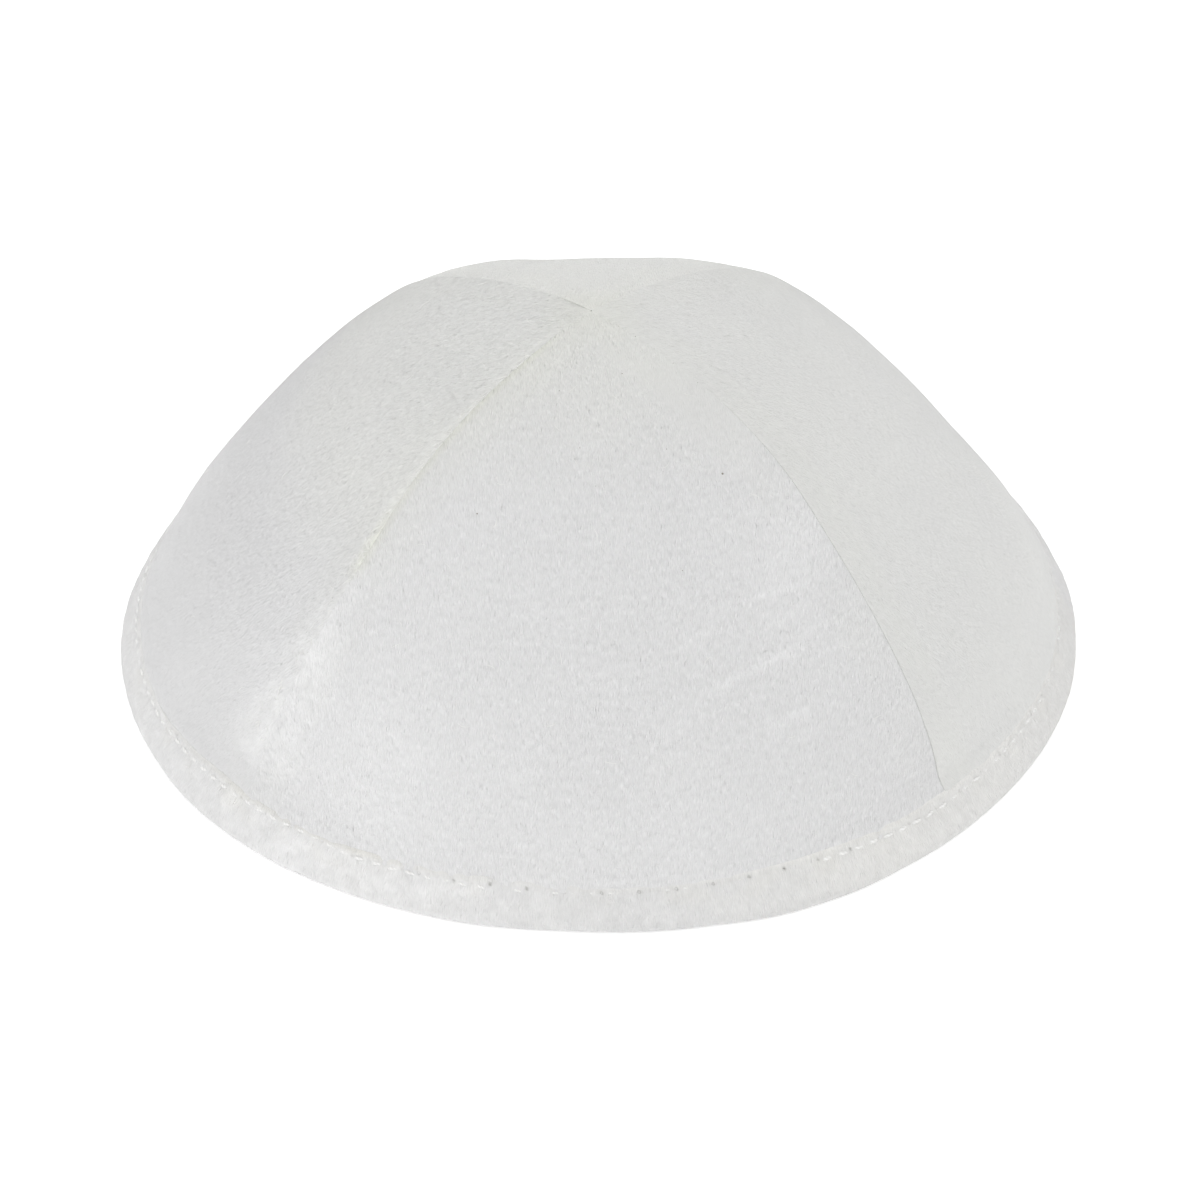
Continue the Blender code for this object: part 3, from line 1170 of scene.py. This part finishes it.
    def cells(self, levels: list[Level], columns: list[tuple]) -> dict[tuple[int, int], tuple]:
        """Works out what the mesh's points are, from the dome, the seams and the relief.

        Args:
            levels: The gore's lines.
            columns: Its columns.

        Returns:
            By column and row: the outer place, the inner place, the lay and the four marks.
        """
        downs = [0.0]
        for upper, lower in zip(levels, levels[1:]):
            downs.append(downs[-1] + (lower.point(0.0) - upper.point(0.0)).length)
        folds = self.placed(self.folds, levels, downs)
        painted_light_patches = self.placed(self.painted_light_patches, levels, downs)
        cells = {}
        for row, (level, down) in enumerate(zip(levels, downs)):
            above, below = levels[max(row - 1, 0)], levels[min(row + 1, len(levels) - 1)]
            stops = tuple(edge.at(level.share) for edge in self.edges)
            near = [fold for fold in folds if abs(fold[2] - down) < fold[0].span]
            for number, column in enumerate(columns):
                across, sunk = self.spot(level, stops, column)
                sideways = across * level.half_width
                base = level.point(across)
                fall = below.point(across) - above.point(across)
                into = self.into_cloth(level, across, fall.cross(level.side(across)).normalized())
                lift, crest_and_shading = self.relief(level, stops, near, across, down, base)
                outwards = Vector((base.x, base.y, 0.0)).normalized()
                base = base + outwards * self.dome.give(math.atan2(base.y, base.x), base.z)
                # Painted shade deep in the slit between the gores, and in the lee of a lip.
                shade = stops[across > 0].slit_shade * smooth_step(sunk, *self.slit_span)
                # The small forms' heights are painted as light and shade.
                tone = crest_and_shading / MM
                # The patches of painted light and shade are added.
                for light_patch, middle, light_patch_down in painted_light_patches:
                    away = math.hypot(sideways - middle, down - light_patch_down)
                    tone += light_patch.tone * bell(away, light_patch.spread * MM)
                cells[number, row] = (
                    base + into * (sunk - lift),
                    base + into * max(self.cloth, sunk + 0.1 * MM),
                    (sideways, down),
                    (self.warmth(level, across, down), max(shade, self.lee(level, across)), tone,
                     self.sleek(level, across)),
                )
        return cells

    def build(self) -> Object:
        """Lays a grid on the dome, presses the relief into it and gives it a wall.

        Returns:
            The gore, a closed wall of cloth.
        """
        levels, columns = self.levels(), self.columns()
        cells = self.cells(levels, columns)
        last_row, last_column = len(levels) - 1, len(columns) - 1
        builder = bmesh.new()
        bmesh.ops.create_grid(builder, x_segments=last_column, y_segments=last_row, size=1)
        uv = builder.loops.layers.uv.new(CLOTH_UV)
        layers = mark_layers(builder)
        for vert in builder.verts:
            vert.co.x = round((vert.co.x + 1) / 2 * last_column)
            vert.co.y = round((1 - vert.co.y) / 2 * last_row)
        walled = bmesh.ops.extrude_face_region(builder, geom=builder.faces[:])
        inside = {item for item in walled["geom"] if isinstance(item, BMVert)}
        own = {vert: cells[round(vert.co.x), round(vert.co.y)] for vert in builder.verts}
        for face in builder.faces:
            for loop in face.loops:
                loop[uv].uv = own[loop.vert][2]
        for vert, (outer, inner, _, (warmth, shade, crest_and_shading, sleek)) in own.items():
            marks = (warmth, 0.0, 0.0, sleek) if vert in inside else (warmth, shade, crest_and_shading, sleek)
            for layer, mark in zip(layers, marks):
                vert[layer] = mark
            vert.co = inner if vert in inside else outer
        bmesh.ops.remove_doubles(builder, verts=builder.verts, dist=0.008 * MM)
        return finish_mesh(self.name, builder)


@dataclass(frozen=True)
class StitchStop:
    """How the topstitches look at one place round the rim, in degrees from +X.

    proud is how far the thread stands out of the pile, drop how much further down the binding
    the row runs and droop how much the binding's lip hangs down, in millimetres. gap is how deep
    every other needle hole is pulled, and so how much painted shade it gets, as a share. pale is
    the painted light on the binding round the rim: the height of a tuft that would look as light,
    in millimetres.
    """

    place: float
    proud: float
    drop: float
    droop: float
    gap: float
    pale: float


@dataclass
class Binding(DressedPart):
    """The strip folded over the gores' hem, a padded channel with its row of needle holes.

    left_front and right place its creamier stretches, in degrees, and the next pair the painted
    shade low on the binding at the front right. At the left front its lip also gets painted shadow.
    furrow, press, hole and gather are dents in it, in millimetres, along the row and under it.
    """

    dome: Dome
    name: str = "bound_rim"
    node: str = "rim_band"
    slot: str = "band_cloth"
    leg_thickness: float = 0.32 * MM
    fold_thickness: float = 1.0 * MM
    channel: float = 1.8 * MM
    foot_rounding: float = 1.5 * MM
    lip_rounding: float = 0.1 * MM
    row_depth: float = 1.6 * MM
    pad_height: float = 0.24 * MM
    furrow: Spread = Spread(0.10, 0.55)
    press: Spread = Spread(0.14, 0.40)
    hole: Spread = Spread(0.30, 0.26)
    hole_fall: float = 0.21 * MM
    gather: Spread = Spread(0.07, 0.9)
    gather_fall: float = 1.6 * MM
    gather_drop: float = 1.0 * MM
    closed_gap: float = 0.12
    least_pull: float = 0.35
    hole_shade_limit: float = 0.78
    swell: Lumps = Lumps(0.15, 14, 31)
    tufts: Lumps = Lumps(0.15, 3.2, 23)
    grain: Lumps = Lumps(0.11, 1.5, 29)
    sleek: float = 0.25
    left_front: Pair = (232, 26)
    right: Pair = (278, 305)
    foot_shade: Pair = (288, 26)
    stitches: int = 168
    steps_in_stitch: int = 8
    leg_cuts: int = 26
    stitch_stops: tuple[StitchStop, ...] = table(
        StitchStop,
        (0, -0.14, -0.50, 0.00, 0.3, 0.05), (180, -0.06, 0.10, 0.00, 0.3, 0.00),
        (195, 0.00, 0.10, 0.30, 0.3, 0.00), (203, 0.03, 0.10, 0.70, 0.3, 0.05),
        (211, 0.02, -0.10, 0.10, 0.3, 0.10), (218, 0.02, -0.30, -0.40, 0.3, 0.14),
        (225, 0.01, -0.50, -0.10, 0.3, 0.26), (233, 0.01, -0.85, 0.00, 0.3, 0.38),
        (240, 0.02, -0.35, -0.10, 0.4, 0.36), (246, 0.03, -0.45, -0.35, 0.5, 0.34),
        (252, 0.00, -0.45, -0.45, 0.7, 0.28), (258, -0.06, -0.60, -0.85, 1.0, 0.18),
        (265, -0.20, -0.65, -0.45, 1.0, 0.08), (271, -0.30, -0.80, 0.00, 1.0, 0.00),
        (279, -0.32, -0.80, 0.00, 1.0, 0.04), (290, -0.30, -0.80, -0.25, 1.0, 0.08),
        (296, -0.15, -0.55, -0.40, 0.9, 0.14), (302, 0.02, -0.35, -0.40, 0.6, 0.18),
        (308, 0.12, -0.05, -0.50, 0.5, 0.18), (314, 0.00, 0.00, -0.50, 0.4, 0.18),
        (320, -0.06, -0.20, -0.40, 0.3, 0.16), (334, -0.08, -0.45, -0.20, 0.3, 0.10),
        (342, -0.16, -0.60, 0.00, 0.3, 0.08), (360, -0.14, -0.50, 0.00, 0.3, 0.05),
    )

    @property
    def slope(self) -> Vector:
        """The unit way down the outer leg, as (outwards, up)."""
        return Vector((self.dome.band_flare, -self.dome.band_height)).normalized()

    @property
    def proud_way(self) -> Vector:
        """The unit way out of the outer leg, as (outwards, up)."""
        return Vector((-self.slope.y, self.slope.x))

    @property
    def lip(self) -> Vector:
        """The outer leg's upper edge, as (outwards, up)."""
        return Vector((self.dome.lip_radius, self.dome.band_height))

    def stitch_column(self, column: str, angle: float) -> float:
        """A column of the stitch stops at an angle in radians."""
        return between(self.stitch_stops, column, math.degrees(angle) % 360)

    def row(self, angle: float) -> float:
        """How far down from the lip the stitches run at an angle in radians."""
        return self.row_depth + self.stitch_column("drop", angle) * MM

    def section(self, builder: BMesh) -> None:
        """Draws the channel's section in the XZ plane: corners, then their rounding.

        Args:
            builder: The mesh that takes the section's vertices and edges.
        """
        dome = self.dome
        level = 1 / -self.slope.y
        outer_inside = dome.lip_radius - self.leg_thickness * level
        inner_outside = outer_inside - self.channel * level
        inner_inside = inner_outside - self.fold_thickness * level
        flare = dome.band_flare * (1 - self.fold_thickness / dome.band_height)
        corners = (
            (outer_inside, dome.band_height, self.lip_rounding / 2),
            (dome.lip_radius, dome.band_height, self.lip_rounding),
            (dome.foot_radius, 0.0, self.foot_rounding),
            (inner_inside + dome.band_flare, 0.0, self.lip_rounding),
            (inner_inside, dome.band_height, self.lip_rounding / 2),
            (inner_outside, dome.band_height, self.lip_rounding / 2),
            (inner_outside + flare, self.fold_thickness, self.lip_rounding / 3),
            (outer_inside + flare, self.fold_thickness, self.lip_rounding / 3),
        )
        verts = [builder.verts.new((radius, 0.0, height)) for radius, height, _ in corners]
        builder.faces.new(verts)
        for vert, (_, _, rounding) in zip(verts, corners):
            bmesh.ops.bevel(
                builder,
                geom=[vert],
                offset=rounding,
                segments=6 if rounding > self.lip_rounding / 2 else 2,
                profile=0.5,
                affect="VERTICES",
                material=-1,
            )

        def outer_length(edge: BMEdge) -> float:
            """An edge's length, or nothing where it isn't on the outer face."""
            _, _, out = self.leg_place((edge.verts[0].co + edge.verts[1].co) / 2)
            return edge.calc_length() if abs(out) < self.lip_rounding / 2 else 0.0

        leg = max(builder.edges, key=outer_length)
        bmesh.ops.subdivide_edges(builder, edges=[leg], cuts=self.leg_cuts)
        bmesh.ops.delete(builder, geom=builder.faces[:], context="FACES_ONLY")

    def leg_place(self, place: Vector) -> tuple[float, float, float]:
        """A point in the outer leg's own measures.

        Args:
            place: A point of the binding.

        Returns:
            Its angle round the rim, its distance down from the lip, and its distance out from
            the even outer face.
        """
        angle = math.atan2(place.y, place.x) % TURN
        offset = Vector((math.hypot(place.x, place.y), place.z)) - self.lip
        return angle, offset.dot(self.slope), offset.dot(self.proud_way)

    def relief(self, place: Vector, angle: float, down: float) -> tuple[float, float, float]:
        """How far the outer face stands out, and the painted shade in a needle hole.

        Args:
            place: A point of the even binding.
            angle: Its angle round the rim.
            down: Its distance down from the lip.

        Returns:
            The height in metres, the painted shade from 0 to 1, and the height of the tufts alone,
            which the colour paints as light and shade.
        """
        below = down - self.row(angle)
        stitch = angle / TURN * self.stitches
        hole = round(stitch)
        from_hole = (stitch - hole) * TURN * self.dome.lip_radius / self.stitches
        pull = random.Random(hole % self.stitches).uniform(self.least_pull, 1.0)
        pull *= self.closed_gap if hole % 2 else self.stitch_column("gap", angle)
        hollow = pull * self.hole.hump(from_hole) * bell(below, self.hole_fall)
        gather = self.gather.hump(from_hole) * bell(below - self.gather_drop, self.gather_fall)
        pad = smooth_step(below, 0.0, 2.0 * MM) * smooth_step(down, 8.6 * MM, 6 * MM)
        dents = self.furrow.hump(below) + self.press.hump(down) + hollow + gather
        lift = self.pad_height * pad - dents * MM + self.swell.at(place)
        coarse = 0.6 + 1.3 * bell(math.degrees(angle) - 238, 32)
        crest_and_shading = coarse * (self.tufts.at(place) + self.grain.at(place))
        # The painted shade in a needle hole follows how deep it is.
        return lift + crest_and_shading, min(self.hole_shade_limit, hollow / self.hole.strength), crest_and_shading

    def marks(self, place: Vector, degrees: float, down: float) -> tuple[float, float, float]:
        """How creamy the cloth is, and its painted light and shade, apart from holes and tufts.

        Args:
            place: A point of the even binding.
            degrees: Its angle round the rim.
            down: Its distance down from the lip.

        Returns:
            The warmth, the painted shade, and the painted light: the height of a tuft that would
            look as light.
        """
        left_front = bell(degrees - self.left_front[0], self.left_front[1])
        right = smooth_step(degrees, *self.right)
        edge = smooth_step(down, 1.3 * MM, 0.4 * MM)
        blotch = smooth_step(ripple(place, 6 * MM, 37.0), 0.0, 0.5)
        blotch *= smooth_step(down, 5 * MM, 2 * MM)
        # Creamy mottle, and a tan line along the lip, strongest at the left front, where it is the
        # tint of the painted shadow under the lip.
        tan = max(left_front * (0.6 * edge + 0.5 * blotch), 0.25 * edge, 0.3 * blotch)
        warmth = 0.05 + 0.8 * tan + 0.30 * right * (1 - 0.5 * tan)
        # Painted shadow under the lip at the left front.
        shade = 0.11 * left_front * bell(down - 0.1 * MM, 0.7 * MM)
        low = smooth_step(down, 5.5 * MM, 8 * MM)
        # Painted light round the rim, painted shade low on the binding at the front right, and a
        # painted highlight along the lip, faint at the left front.
        pale = between(self.stitch_stops, "pale", degrees)
        pale -= 0.3 * low * bell(degrees - self.foot_shade[0], self.foot_shade[1])
        pale += 0.25 * bell(down, 0.35 * MM) * (1 - 0.9 * left_front)
        return warmth, shade, pale

    def build(self) -> Object:
        """Spins the section round the rim and presses the sewn channel into its outer face.

        Returns:
            The binding, a closed channel.
        """
        builder = bmesh.new()
        self.section(builder)
        bmesh.ops.spin(
            builder,
            geom=builder.verts[:] + builder.edges[:],
            cent=(0, 0, 0),
            axis=(0, 0, 1),
            angle=TURN,
            steps=self.stitches * self.steps_in_stitch,
            use_merge=True,
        )
        uv = builder.loops.layers.uv.new(CLOTH_UV)
        layers = mark_layers(builder)
        legs = self.leg_thickness + self.channel + self.fold_thickness
        lay = {}
        for vert in builder.verts:
            place = vert.co.copy()
            angle, down, out = self.leg_place(place)
            lay[vert] = (angle * self.dome.lip_radius, down)
            warmth, shade, pale = self.marks(place, math.degrees(angle), down)
            tone = 0.0
            outwards = Vector((place.x, place.y, 0.0)).normalized()
            around = smooth_step(out, -0.8 * MM, -0.3 * MM)
            if around > 0:
                lift, hole, crest_and_shading = self.relief(place, angle, down)
                level, up = self.proud_way * lift * around
                vert.co = place + outwards * level + Vector((0, 0, up))
                # The needle holes' painted shade, the tufts' painted light and shade, and the rim's
                # painted light.
                shade = max(shade, hole)
                tone = crest_and_shading / MM + pale
            for layer, mark in zip(layers, (warmth, shade, tone, self.sleek)):
                vert[layer] = mark
            outer_share = smooth_step(out, -legs, -self.leg_thickness)
            vert.co += outwards * self.dome.give(angle, place.z) * outer_share
            droop = self.stitch_column("droop", angle)
            droop *= smooth_step(down, 3.2 * MM, 0.0) * outer_share * MM
            vert.co += outwards * self.slope.x * droop
            vert.co.z = max(vert.co.z + self.slope.y * droop, 0.0)
        whole_turn = TURN * self.dome.lip_radius
        for face in builder.faces:
            across_start = max(lay[loop.vert][0] for loop in face.loops) > 0.75 * whole_turn
            for loop in face.loops:
                along, down = lay[loop.vert]
                if across_start and along < 0.25 * whole_turn:
                    along += whole_turn
                loop[uv].uv = (along, down)
        return finish_mesh(self.name, builder)


@dataclass
class Topstitching(DressedPart):
    """The row of stitches round the binding, each a soft dash of thread from hole to hole."""

    binding: Binding
    name: str = "topstitches"
    node: str = ""
    slot: str = "band_cloth"
    thread: float = 0.62 * MM
    end_sink: float = 0.35 * MM
    length_share: float = 0.74
    seed: int = 41

    def build(self) -> Object:
        """Makes each stitch from a small sphere, drawn out and bent round the rim.

        Returns:
            All stitches as one piece.
        """
        binding, dome = self.binding, self.binding.dome
        draw = random.Random(self.seed)
        builder = bmesh.new()
        builder.loops.layers.uv.new(CLOTH_UV)
        pitch = TURN / binding.stitches
        for stitch in range(binding.stitches):
            middle = (stitch + 0.5) * pitch
            row = binding.row(middle)
            even = dome.lip_radius * Vector((math.cos(middle), math.sin(middle), 0.0))
            even.z = dome.band_height
            seat, _, _ = binding.relief(even, middle, row)
            seat += (binding.stitch_column("proud", middle) + draw.uniform(-0.20, 0.07)) * MM
            half = self.length_share * pitch * draw.uniform(0.36, 0.5)
            skew = draw.uniform(-0.22, 0.22) * MM
            thread = self.thread * draw.uniform(0.9, 1.1) / 2
            ball = bmesh.ops.create_uvsphere(
                builder, u_segments=8, v_segments=7, radius=1.0, calc_uvs=True
            )
            for vert in ball["verts"]:
                across, out, along = vert.co
                angle = middle + half * along
                arch = seat - self.end_sink * along**4
                flat = binding.lip + binding.slope * (row + skew * along + thread * across)
                flat += binding.proud_way * (arch + thread * out)
                flat.x += dome.give(angle, flat.y)
                vert.co = Matrix.Rotation(angle, 3, "Z") @ Vector((flat.x, 0.0, flat.y))
        return finish_mesh(self.name, builder, closed=False)


@dataclass(frozen=True)
class Speck:
    """A dark grain in the nap, its width in millimetres."""

    share: float
    across: float
    width: float


# The first one stands out, the next are small, the last ones lie in the seam near the crown.
FRONT_SPECKS = table(
    Speck,
    (0.360, 0.680, 0.40), (0.418, -0.605, 0.26), (0.503, 0.340, 0.22), (0.158, 0.310, 0.21),
    (0.190, -0.385, 0.21), (0.305, 0.425, 0.19), (0.295, -0.130, 0.18), (0.360, -0.030, 0.16),
    (0.553, 0.540, 0.18), (0.052, 0.97, 0.19), (0.083, 0.98, 0.18), (0.153, 0.985, 0.16),
    (0.198, 0.985, 0.16),
)


@dataclass(frozen=True)
class FibreField:
    """A place on a gore where loose fibres lie, from top to bottom and from left to right.

    These are shares down and across. length and stand, the fibres' height, are millimetres.
    """

    top: float
    bottom: float
    left: float
    right: float
    fibres: int
    length: float
    stand: float


# The frayed lower end of the front left seam's lip, the lip above it, the ridge below it, and
# the open cloth.
LEFT_FIBRES = table(
    FibreField,
    (0.50, 0.565, 0.955, 0.998, 34, 2.0, 0.45),
    (0.12, 0.50, 0.965, 0.998, 60, 1.5, 0.3),
    (0.58, 0.88, 0.92, 0.99, 36, 1.8, 0.2),
    (0.10, 0.95, -0.9, 0.9, 24, 2.2, 0.1),
)
FRONT_FIBRES = table(FibreField, (0.10, 0.95, -0.9, 0.9, 40, 2.2, 0.1))


@dataclass
class Lint(DressedPart):
    """Dark grains and pale loose fibres on a gore's nap."""

    gore: Gore
    surface: BVHTree
    node: str = ""
    slot: str = "panel_cloth"
    width: float = 0.09 * MM
    seed: int = 5

    def seat(self, share: float, across: float) -> Matrix:
        """A place on the gore's outer face.

        Args:
            share: The share of the way down.
            across: How far across.

        Returns:
            The place as a matrix whose Z points out of the cloth.
        """
        even = self.gore.line_at(share).point(across)
        outwards = Vector((even.x, even.y, 1.2 * even.z)).normalized()
        place, normal, _, _ = self.surface.ray_cast(even + outwards * 6 * MM, -outwards)
        if normal.dot(outwards) < 0:
            normal = -normal
        turn = normal.to_track_quat("Z", "Y").to_matrix().to_4x4()
        return Matrix.Translation(place) @ turn

    def specks(self, name: str, grains: tuple[Speck, ...]) -> Object:
        """Beds the dark grains in the nap.

        Args:
            name: The piece's name.
            grains: Where they lie.

        Returns:
            All grains as one piece.
        """
        draw = random.Random(self.seed)
        builder = bmesh.new()
        for grain in grains:
            ball = bmesh.ops.create_icosphere(builder, subdivisions=2, radius=0.5)
            shape = Matrix.Diagonal((draw.uniform(0.7, 1.1), draw.uniform(0.7, 1.1), 0.5, 1))
            turn = Matrix.Rotation(draw.uniform(0, math.pi), 4, "Z")
            sized = shape @ Matrix.Scale(grain.width * MM, 4)
            seat = self.seat(grain.share, grain.across)
            bmesh.ops.transform(builder, matrix=seat @ turn @ sized, verts=ball["verts"])
        return finish_mesh(name, builder, closed=False)

    def fibres(self, name: str, fields: tuple[FibreField, ...]) -> Object:
        """Strews loose fibres over the gore, each a thin bowed spindle.

        Args:
            name: The piece's name.
            fields: Where they lie and how they stand.

        Returns:
            All fibres as one piece.
        """
        draw = random.Random(self.seed + 1)
        builder = bmesh.new()
        for field in fields:
            for _ in range(field.fibres):
                share = draw.uniform(field.top, field.bottom)
                seat = self.seat(share, draw.uniform(field.left, field.right))
                seat = seat @ Matrix.Rotation(draw.uniform(0, TURN), 4, "Z")
                half = field.length * draw.uniform(0.3, 0.6) * MM
                bow = half * draw.uniform(-0.5, 0.5)
                stand = field.stand * draw.uniform(0.1, 1.0) * MM
                ball = bmesh.ops.create_uvsphere(builder, u_segments=5, v_segments=8, radius=1.0)
                for vert in ball["verts"]:
                    across, out, along = vert.co
                    side = bow * along * along + self.width * across / 2
                    height = stand * (1 - along * along) + self.width * (out + 0.4) / 2
                    vert.co = seat @ Vector((half * along, side, height))
        return finish_mesh(name, builder, closed=False)


@dataclass(frozen=True)
class Studio:
    """A pale floor lit from below, soft light from all round and a camera at the picture's angle.

    The camera's distance and lift are measured from the origin, in the middle of the rim.
    """

    distance: float = 0.810
    elevation_deg: float = 36.53
    lens: float = 128.57
    sensor: float = 36.0
    roll_deg: float = -0.589
    raise_deg: float = 0.326
    yaw_deg: float = -0.0154
    air: float = 1.145
    floor_side: float = 8.0
    floor_drop: float = 0.05 * MM
    paper: PlainMatt = PlainMatt("lit_paper", (0.80, 0.80, 0.80), drift=0.01, grain=0.4, glow=0.34)
    key_place: tuple[float, float, float] = (-0.90, -1.35, 0.25)
    key_side: float = 1.0
    key_watts: float = 3.8

    def camera(self) -> None:
        """Stands the camera before the cap, above the floor."""
        lens = bpy.data.cameras.new("studio_camera")
        lens.lens = self.lens
        lens.sensor_width = self.sensor
        camera = bpy.data.objects.new("studio_camera", lens)
        bpy.context.scene.collection.objects.link(camera)
        elevation = math.radians(self.elevation_deg)
        back = Vector((0.0, -math.cos(elevation), math.sin(elevation)))
        looking = Euler((math.pi / 2 - elevation, 0.0, 0.0)).to_matrix()
        for degrees, axis in ((self.roll_deg, "Z"), (self.raise_deg, "X"), (self.yaw_deg, "Y")):
            looking = looking @ Matrix.Rotation(math.radians(degrees), 3, axis)
        camera.matrix_world = Matrix.Translation(back * self.distance) @ looking.to_4x4()
        bpy.context.scene.camera = camera

    def floor(self) -> None:
        """Lays the floor that the cap stands on."""
        builder = bmesh.new()
        bmesh.ops.create_grid(builder, x_segments=8, y_segments=8, size=self.floor_side / 2)
        bmesh.ops.translate(builder, verts=builder.verts, vec=(0.0, 0.0, -self.floor_drop))
        floor = finish_mesh("studio_floor", builder, closed=False)
        floor.data.materials.append(self.paper.material())

    def light(self) -> None:
        """Fills the studio with even air light and one soft square key from the front left."""
        world = bpy.data.worlds.new("studio_air")
        world.use_nodes = True
        sky = world.node_tree.nodes["Background"]
        sky.inputs["Color"].default_value = (1.0, 1.0, 1.0, 1.0)
        sky.inputs["Strength"].default_value = self.air
        bpy.context.scene.world = world
        key = bpy.data.lights.new("key_light", "AREA")
        key.shape = "SQUARE"
        key.size = self.key_side
        key.energy = self.key_watts
        lamp = bpy.data.objects.new("key_light", key)
        lamp.location = self.key_place
        lamp.rotation_euler = (-lamp.location).to_track_quat("-Z", "Y").to_euler()
        bpy.context.scene.collection.objects.link(lamp)
        settings = bpy.context.scene.view_settings
        settings.view_transform = "Standard"
        settings.look = "None"
        settings.exposure = 0.0
        settings.gamma = 1.0


def main() -> None:
    """Builds the cap piece by piece, then the studio round it."""
    logging.basicConfig(level=logging.INFO, format="%(message)s")
    dome = Dome()
    back_right = SeamCourse(crown_deg=47.0, rim_deg=47.0)
    back_left = SeamCourse(crown_deg=137.0, rim_deg=137.0)
    front_left = SeamCourse(crown_deg=227.0, rim_deg=223.6, bow_deg=1.0)
    front_right = SeamCourse(crown_deg=317.0, rim_deg=315.0, bow_deg=-0.9)
    gores = (
        Gore("gore_front", "panel_front", dome, (front_left, front_right),
             (SUNK_EDGE, CRISP_EDGE), FRONT_FOLDS, FRONT_PAINTED_LIGHT, seed=1.0, upper_cream=0.45,
             lower_cream=-0.02, cream_fade=(0.10, 0.44), pressed=0.6),
        Gore("gore_right", "panel_right", dome, (front_right, back_right),
             (CRISP_EDGE, PLAIN_EDGE), RIGHT_FOLDS, (), seed=2.0, upper_cream=0.40,
             lower_cream=0.34, flat=0.4, low_flat=0.55),
        Gore("gore_back", "panel_back", dome, (back_right, back_left),
             (PLAIN_EDGE, CROWN_EDGE), BACK_FOLDS, BACK_PAINTED_LIGHT, seed=3.0, upper_cream=0.52,
             lower_cream=0.34, flat=0.3),
        Gore("gore_left", "panel_left", dome, (back_left, front_left),
             (CROWN_EDGE, RAISED_EDGE), LEFT_FOLDS, LEFT_PAINTED_LIGHT, seed=4.0, upper_cream=0.42,
             lower_cream=-0.02, cream_fade=(0.46, 0.66), flat=0.05, low_flat=0.45),
    )
    panel_cloth = NappedCloth("panel_nap")
    band_cloth = NappedCloth("band_nap", cool=(0.722, 0.7205, 0.7195),
                             cream=(0.724, 0.7155, 0.684), tuft_size=2.0 * MM)
    white = PlainMatt("lint_white", (0.84, 0.84, 0.82), drift=0.05, grain=2 * MM)
    dark = PlainMatt("lint_dark", (0.27, 0.25, 0.22), drift=0.2, grain=0.5 * MM)
    for gore in gores:
        piece = gore.build()
        gore.dress(piece, panel_cloth)
        corners = [vert.co for vert in piece.data.vertices]
        faces = [face.vertices for face in piece.data.polygons]
        lint = Lint(gore, BVHTree.FromPolygons(corners, faces))
        if gore.name == "gore_front":
            lint.dress(lint.specks("lint_specks", FRONT_SPECKS), dark)
            lint.dress(lint.fibres("lint_front", FRONT_FIBRES), white)
        if gore.name == "gore_left":
            lint.dress(lint.fibres("lint_left", LEFT_FIBRES), white)
    binding = Binding(dome)
    binding.dress(binding.build(), band_cloth)
    stitching = Topstitching(binding)
    stitching.dress(stitching.build(), SewingThread())
    studio = Studio()
    studio.floor()
    studio.light()
    studio.camera()


if __name__ == "__main__":
    main()
